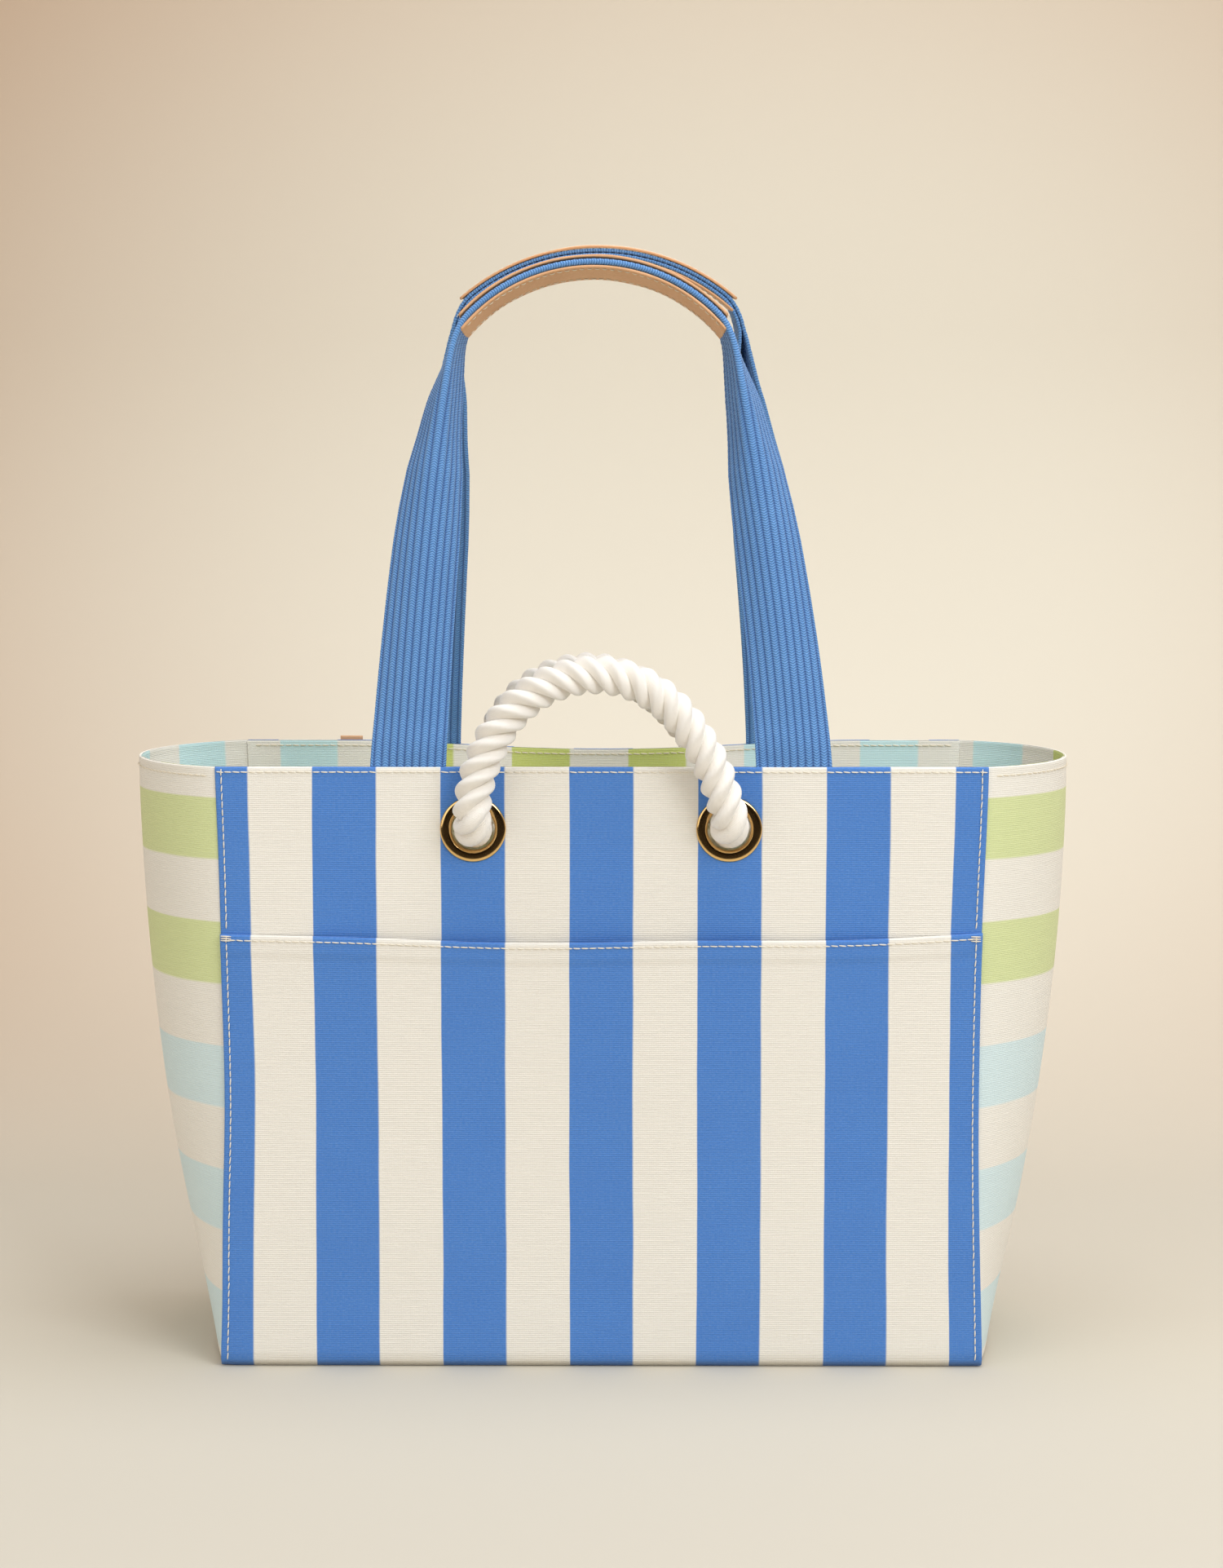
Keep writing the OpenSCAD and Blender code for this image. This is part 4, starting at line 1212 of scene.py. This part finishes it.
def metal_material(settings):
    """Polished gold-coloured metal with faint brushing and small wear."""
    m, t, b = fresh("gold_metal", 0.2, metallic=1.0)
    obj = object_map(t)
    wear = noise(t, obj, 260.0, 4.0, 0.6)
    plug(t, b.inputs["Base Color"], mix_colour(t, wear * 0.35, tuple(settings.metal), srgb(205, 150, 80)))
    plug(t, b.inputs["Roughness"], wear.ramp(0.0, 1.0, 0.09, 0.18))
    bump(t, b, noise(t, obj, 900.0), 0.04, 0.0002)
    return m


def thread_material(name, colour, shadow):
    """Sewing thread: a fine twist along each stitch."""
    m, t, b = fresh(name, 0.7, sheen=0.2, spec=0.3)
    twist = noise(t, object_map(t), 2400.0, 1.0)
    plug(t, b.inputs["Base Color"], mix_colour(t, twist * 0.4, colour, shadow))
    bump(t, b, twist, 0.4, 0.0002)
    return m


def felt_material(name, colour, other, scale):
    """Pressed fibre sheet: speckled and matte."""
    m, t, b = fresh(name, 0.95, spec=0.2)
    fibre = noise(t, object_map(t), scale, 4.0, 0.7)
    plug(t, b.inputs["Base Color"], mix_colour(t, fibre, colour, other))
    bump(t, b, fibre, 0.5, 0.0004)
    return m


# ---------------------------------------------------------------- studio


def sweep_piece():
    """Studio sweep: a flat floor, a quarter turn of half a metre behind the bag and an
    upright wall, carried straight across, all faces toward the bag."""
    turn = np.linspace(0, math.pi / 2, 24)
    y = np.concatenate([[-4, -2, -1, -0.5, 0], 0.35 + 0.55 * np.sin(turn), [0.9, 0.9, 0.9, 0.9]])
    z = np.concatenate([[0, 0, 0, 0, 0], 0.55 - 0.55 * np.cos(turn), [0.8, 1.2, 2.0, 3.0]]) - 0.0002
    X, Y = np.meshgrid(np.linspace(-3, 3, 25), y, indexing="ij")
    points = np.stack([X, Y, np.broadcast_to(z, X.shape)], -1)
    return new_object("sweep", points, quads(*X.shape).reshape(-1, 4)[:, ::-1])


def sweep_material():
    """Warm paper with painted shade that turns it tan away from the middle of the wall, as light falling
    off would, and dark in reflections from far in front. The camera sees through it from behind and far
    out."""
    m, t, b = fresh("sweep_paper", 0.95, spec=0.1)
    obj = object_map(t)
    y = split(t, obj)[1]
    from_middle = length_of(t, stretched(t, obj, (0.85, 0, 1.05), shift=(-0.10, 0, -0.42)))
    wall = y.ramp(0.25, 0.75, smooth=True)
    # Painted shade: the wall darkens toward tan away from its middle.
    tan = (from_middle.ramp(0.15, 1.12, smooth=True) * wall).math("MINIMUM", 0.62)
    light = mix_colour(t, wall, srgb(209, 202, 187), srgb(228, 220, 203))
    paper = mix_colour(t, tan, light, srgb(168, 118, 70))
    path = t.nodes.new("ShaderNodeLightPath")
    far_front = Field(t, path.outputs["Is Glossy Ray"]) * y.ramp(-0.6, -1.0)
    plug(t, b.inputs["Base Color"], mix_colour(t, far_front, paper, srgb(34, 26, 18)))
    far_out = length_of(t, stretched(t, obj, (1, 1, 0))).ramp(1.3, 2.9, smooth=True)
    behind = Field(t, t.nodes.new("ShaderNodeNewGeometry").outputs["Backfacing"])
    mix, clear = t.nodes.new("ShaderNodeMixShader"), t.nodes.new("ShaderNodeBsdfTransparent")
    plug(t, mix.inputs[0], behind.math("MAXIMUM", far_out) * path.outputs["Is Camera Ray"])
    plug(t, mix.inputs[1], b.outputs[0])
    plug(t, mix.inputs[2], clear.outputs[0])
    plug(t, t.nodes["Material Output"].inputs["Surface"], mix.outputs[0])
    return m


def room_light(world, strength):
    """Light from all round: brighter from above, dim in reflections from straight in
    front, and plain warm paper to the camera."""
    world.use_nodes = True
    t = world.node_tree
    way = t.nodes.new("ShaderNodeTexCoord").outputs["Generated"]
    path = t.nodes.new("ShaderNodeLightPath")
    _, y, z = split(t, way)
    sky = mix_colour(t, z.ramp(0.05, 0.55, smooth=True), srgb(118, 104, 88), srgb(255, 255, 255))
    front = Field(t, path.outputs["Is Glossy Ray"]) * y.ramp(-0.75, -0.9)
    sky = mix_colour(t, front, sky, srgb(30, 22, 14))
    back = t.nodes["Background"]
    plug(t, back.inputs[0], mix_colour(t, path.outputs["Is Camera Ray"], sky, srgb(240, 232, 216)))
    back.inputs[1].default_value = strength


def soft_lamp(name, where, aim, size, power, tint):
    """Square soft light at a place, turned to another."""
    light = bpy.data.lights.new(name, "AREA")
    light.shape, light.size, light.energy, light.color = "SQUARE", size, power, tint[:3]
    lamp = bpy.data.objects.new(name, light)
    bpy.context.collection.objects.link(lamp)
    lamp.location = where
    lamp.rotation_euler = (Vector(aim) - Vector(where)).to_track_quat("-Z", "Y").to_euler()


def view_camera():
    """Long lens a little above the rim, tipped six degrees down."""
    cam = bpy.data.cameras.new("camera")
    cam.lens, cam.sensor_width, cam.sensor_fit = 76.3, 36.0, "AUTO"
    eye = bpy.data.objects.new("camera", cam)
    bpy.context.collection.objects.link(eye)
    eye.location = (0.0140, -1.7243, 0.4721)
    eye.rotation_euler = (math.radians(90 - 6.04), 0, math.radians(0.306))
    return eye


# ---------------------------------------------------------------- add-on

MATERIALS = {}
HANDS = (("left", -1), ("right", 1))
FACES = (("front", -1), ("back", 1))


def finish_piece(obj, material, body, *nodes):
    """Gives a piece its material, its body and the CAD nodes it stands for."""
    obj.data.materials.append(MATERIALS[material])
    if body:
        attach(obj, body)
    if nodes:
        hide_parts(*nodes)
    return obj


def paint(name, about, *rgb):
    """A colour setting with its display values from 0 to 255."""
    return bpy.props.FloatVectorProperty(
        name=name, description=about, subtype="COLOR", size=4, min=0, max=1, default=srgb(*rgb)
    )


def width(name, about, value, low, high):
    """A length setting in metres."""
    return bpy.props.FloatProperty(
        name=name, description=about, default=value, min=low, max=high, unit="LENGTH"
    )


class BeachToteSettings(bpy.types.PropertyGroup):
    """Colours, pattern sizes and light of the tote."""

    blue_canvas: paint("Blue Stripe", "Blue yarn of the striped canvas", 66, 128, 209)
    cream_canvas: paint("Cream", "Undyed yarn of all cloths", 248, 245, 237)
    green_cloth: paint("Green Band", "Green of the pastel cloth", 214, 225, 154)
    aqua_cloth: paint("Aqua Band", "Aqua of the pastel cloth", 212, 235, 240)
    green_lining: paint("Green Lining Band", "Green of the lining", 204, 216, 96)
    aqua_lining: paint("Aqua Lining Band", "Aqua of the lining", 200, 238, 244)
    webbing: paint("Webbing", "Blue of the handle webbing", 80, 145, 213)
    leather: paint("Leather", "Tan of the grips and tab", 236, 188, 142)
    rope: paint("Rope", "Colour of the cotton rope", 254, 250, 243)
    metal: paint("Metal", "Colour of the grommets", 244, 206, 140)
    stripe_width: width("Stripe Width", "Width of one blue or cream stripe", 0.0321, 0.01, 0.08)
    band_width: width("Band Width", "Width of one pastel band", 0.0315, 0.01, 0.08)
    rope_lay: width("Rope Lay", "Length of one full turn of the rope's strands", 0.029, 0.02, 0.06)
    key_light: bpy.props.FloatProperty(
        name="Key Light", description="Power of the large soft light", default=29.5, min=0, unit="POWER"
    )
    sky: bpy.props.FloatProperty(
        name="Room Light",
        description="Strength of the light from all round",
        default=0.75,
        min=0,
        subtype="FACTOR",
    )


class ToteOperator:
    """What the tote's operators share."""

    bl_options = {"REGISTER"}


class TOTE_OT_materials(ToteOperator, bpy.types.Operator):
    """Makes every finish of the tote"""

    bl_idname = "tote.materials"
    bl_label = "Make Finishes"

    def execute(self, context):
        s = context.scene.beach_tote
        weave, bands = weave_group(), bands_group()
        MATERIALS["striped_canvas"] = canvas_material(s, weave, bands)
        for name, axis, start, green, aqua in (
            ("gusset_canvas", 1, -0.0477, s.green_cloth, s.aqua_cloth),
            ("lining_cloth", 0, -0.11275, s.green_lining, s.aqua_lining),
        ):
            MATERIALS[name] = pastel_material(name, s, weave, bands, axis, start, green, aqua)
        MATERIALS["cotton_rope"] = rope_material(s)
        MATERIALS["blue_webbing"] = webbing_material(s)
        MATERIALS["tan_leather"] = leather_material(s)
        MATERIALS["gold_metal"] = metal_material(s)
        for name, colour, shadow in (
            ("white_thread", srgb(244, 236, 218), srgb(214, 204, 184)),
            ("natural_thread", srgb(238, 228, 206), srgb(206, 190, 160)),
        ):
            MATERIALS[name] = thread_material(name, colour, shadow)
        for name, colour, other, scale in (
            ("core_felt", srgb(222, 222, 216), srgb(176, 176, 170), 700.0),
            ("base_board", srgb(196, 164, 118), srgb(150, 118, 76), 420.0),
        ):
            MATERIALS[name] = felt_material(name, colour, other, scale)
        return {"FINISHED"}


class TOTE_OT_body(ToteOperator, bpy.types.Operator):
    """Builds the striped strip, the pocket, the stiffening sheets and the base board"""

    bl_idname = "tote.body"
    bl_label = "Body and Pocket"

    def execute(self, context):
        panel = finish_piece(body_panel_piece(), "striped_canvas", "bag", "body_panel")
        pocket = finish_piece(pocket_piece(), "striped_canvas", "bag", "front_pocket")
        for word, side in FACES:
            finish_piece(core_piece(f"{word}_core_sheet", side), "core_felt", "bag", f"{word}_core")
        finish_piece(base_board_piece(), "base_board", "bag", "base_board")
        return {"FINISHED"}


class TOTE_OT_gussets(ToteOperator, bpy.types.Operator):
    """Builds the two swelling side gussets"""

    bl_idname = "tote.gussets"
    bl_label = "Gussets"

    def execute(self, context):
        for word, side in HANDS:
            g = gusset_piece(f"{word}_gusset_canvas", side, 0.0, CANVAS)
            finish_piece(g, "gusset_canvas", "bag", f"{word}_gusset")
        return {"FINISHED"}


class TOTE_OT_lining(ToteOperator, bpy.types.Operator):
    """Builds the lining of the panels and of the gussets"""

    bl_idname = "tote.lining"
    bl_label = "Lining"

    def execute(self, context):
        lining = finish_piece(lining_piece(), "lining_cloth", "bag", "lining_panel")
        near = CANVAS + GAP
        for word, side in HANDS:
            g = gusset_piece(f"{word}_gusset_lining_cloth", side, near, near + LINING, lining=True)
            finish_piece(g, "lining_cloth", "bag", f"{word}_gusset_lining")
        return {"FINISHED"}


class TOTE_OT_grommets(ToteOperator, bpy.types.Operator):
    """Builds the four grommets and their inner washers"""

    bl_idname = "tote.grommets"
    bl_label = "Grommets"

    def execute(self, context):
        ring, washer = smooth_outline(GROMMET_OUTLINE), smooth_outline(WASHER_OUTLINE)
        for word, front in FACES:
            for hand, side in HANDS:
                name, x = f"{word}_{hand}", side * HOLE_X
                grommet = turned(f"{name}_grommet_ring", ring, x, front)
                finish_piece(grommet, "gold_metal", "bag", f"{name}_grommet")
                inner = turned(f"{name}_washer_ring", washer, x, front, 72)
                finish_piece(inner, "gold_metal", "bag", f"{name}_washer")
        return {"FINISHED"}


class TOTE_OT_ropes(ToteOperator, bpy.types.Operator):
    """Builds both rope handles and their stopper knots"""

    bl_idname = "tote.ropes"
    bl_label = "Rope Handles"

    def execute(self, context):
        lay = context.scene.beach_tote.rope_lay
        for word, s in FACES:
            for hand, side in HANDS:
                knot = knot_piece(f"{word}_{hand}_knot", side * HOLE_X, s < 0, lay)
                finish_piece(knot, "cotton_rope", "bag", f"{word}_{hand}_rope_end")
            rope, line, length = rope_piece(f"{word}_rope_handle", s < 0, lay)
            finish_piece(rope, "cotton_rope", None, f"{word}_rope_loop")
            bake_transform(rope)
        return {"FINISHED"}


class TOTE_OT_handles(ToteOperator, bpy.types.Operator):
    """Builds both webbing handles with their leather grips"""

    bl_idname = "tote.handles"
    bl_label = "Webbing Handles"

    def execute(self, context):
        for word, s in FACES:
            handle = Handle(word)
            strap, length = handle.webbing(f"{word}_webbing")
            tails = [f"{word}_{hand}_strap_tail" for hand, _ in HANDS]
            finish_piece(strap, "blue_webbing", None, f"{word}_webbing_strap", *tails)
            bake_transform(strap)
            for level, side in (("upper", 1), ("lower", -1)):
                pad = handle.pad(f"{word}_{level}_grip_leather", side)
                finish_piece(pad, "tan_leather", f"{word}_handle", f"{word}_{level}_grip")
            rows = handle.grip_rows(f"{word}_grip_stitches")
            finish_piece(rows, "natural_thread", f"{word}_handle", f"{word}_grip_thread")
        return {"FINISHED"}


class TOTE_OT_stitching(ToteOperator, bpy.types.Operator):
    """Sews the white topstitching, the tone-on-tone rim rows and the leather tab"""

    bl_idname = "tote.stitching"
    bl_label = "Stitching and Tab"

    def execute(self, context):
        def sew(row, thread, *nodes):
            """Fixes a sewn piece to the bag."""
            finish_piece(row, thread, "bag", *nodes)

        tab_gap = (TAB_X - 0.0065, TAB_X + 0.0065)
        sew(rim_row("front_rim_stitches", 0.0024), "white_thread", "front_rim_thread")
        back_row = rim_row("back_rim_stitches", STRIP_L - 0.0034, tab_gap)
        sew(back_row, "white_thread", "back_rim_thread")
        sew(pocket_row("pocket_hem_stitches"), "white_thread", "pocket_hem_thread")
        for word, side in HANDS:
            sew(side_rows(f"{word}_side_stitches", side), "white_thread", f"{word}_side_thread")
            row = gusset_rim_row(f"{word}_gusset_rim_stitches", side)
            sew(row, "natural_thread", f"{word}_gusset_rim_thread")
        sew(lining_rows("lining_rim_stitches"), "natural_thread")
        sew(tab_piece(), "tan_leather", "back_leather_tab")
        return {"FINISHED"}


class TOTE_OT_stage(ToteOperator, bpy.types.Operator):
    """Sets up the pale sweep, the soft light and the camera"""

    bl_idname = "tote.stage"
    bl_label = "Stage, Light and Camera"

    def execute(self, context):
        s, scene = context.scene.beach_tote, context.scene
        sweep = sweep_piece()
        sweep.data.materials.append(sweep_material())
        scene.world = scene.world or bpy.data.worlds.new("studio")
        room_light(scene.world, s.sky)
        scene.view_settings.view_transform = "Standard"
        for name, where, aim, size, share, tint in (
            ("key", (1.3, -1.9, 1.7), (0.05, 0, 0.25), 1.2, 1, srgb(246, 250, 255)),
            ("fill", (-1.6, -1.9, 0.9), (0, 0, 0.25), 1.6, 0.34, srgb(255, 250, 244)),
            ("top", (0.3, -0.1, 1.9), (0, 0, 0.2), 1.2, 0.5, srgb(250, 252, 255)),
        ):
            soft_lamp(name, where, aim, size, s.key_light * share, tint)
        scene.camera = view_camera()
        return {"FINISHED"}


STEPS = ("materials", "stage", "ropes", "body", "gussets", "lining", "grommets", "handles", "stitching")


class TOTE_PT_panel(bpy.types.Panel):
    """Lists the settings and the steps of the tote"""

    bl_idname = "TOTE_PT_panel"
    bl_label = "Beach Tote"
    bl_space_type = "VIEW_3D"
    bl_region_type = "UI"
    bl_category = "Beach Tote"

    def draw(self, context):
        s = context.scene.beach_tote
        for p in s.bl_rna.properties:
            if p.identifier not in ("rna_type", "name"):
                self.layout.prop(s, p.identifier)
        for step in STEPS:
            self.layout.operator(f"tote.{step}")


CLASSES = (
    BeachToteSettings,
    TOTE_OT_materials,
    TOTE_OT_body,
    TOTE_OT_gussets,
    TOTE_OT_lining,
    TOTE_OT_grommets,
    TOTE_OT_ropes,
    TOTE_OT_handles,
    TOTE_OT_stitching,
    TOTE_OT_stage,
    TOTE_PT_panel,
)


def register():
    """Registers the add-on and its settings."""
    for c in CLASSES:
        bpy.utils.register_class(c)
    bpy.types.Scene.beach_tote = bpy.props.PointerProperty(type=BeachToteSettings)


def unregister():
    """Takes the add-on and its settings out again."""
    del bpy.types.Scene.beach_tote
    for c in reversed(CLASSES):
        bpy.utils.unregister_class(c)


def main():
    """Builds the whole tote."""
    register()
    for step in STEPS:
        getattr(bpy.ops.tote, step)()


if __name__ == "__main__":
    main()
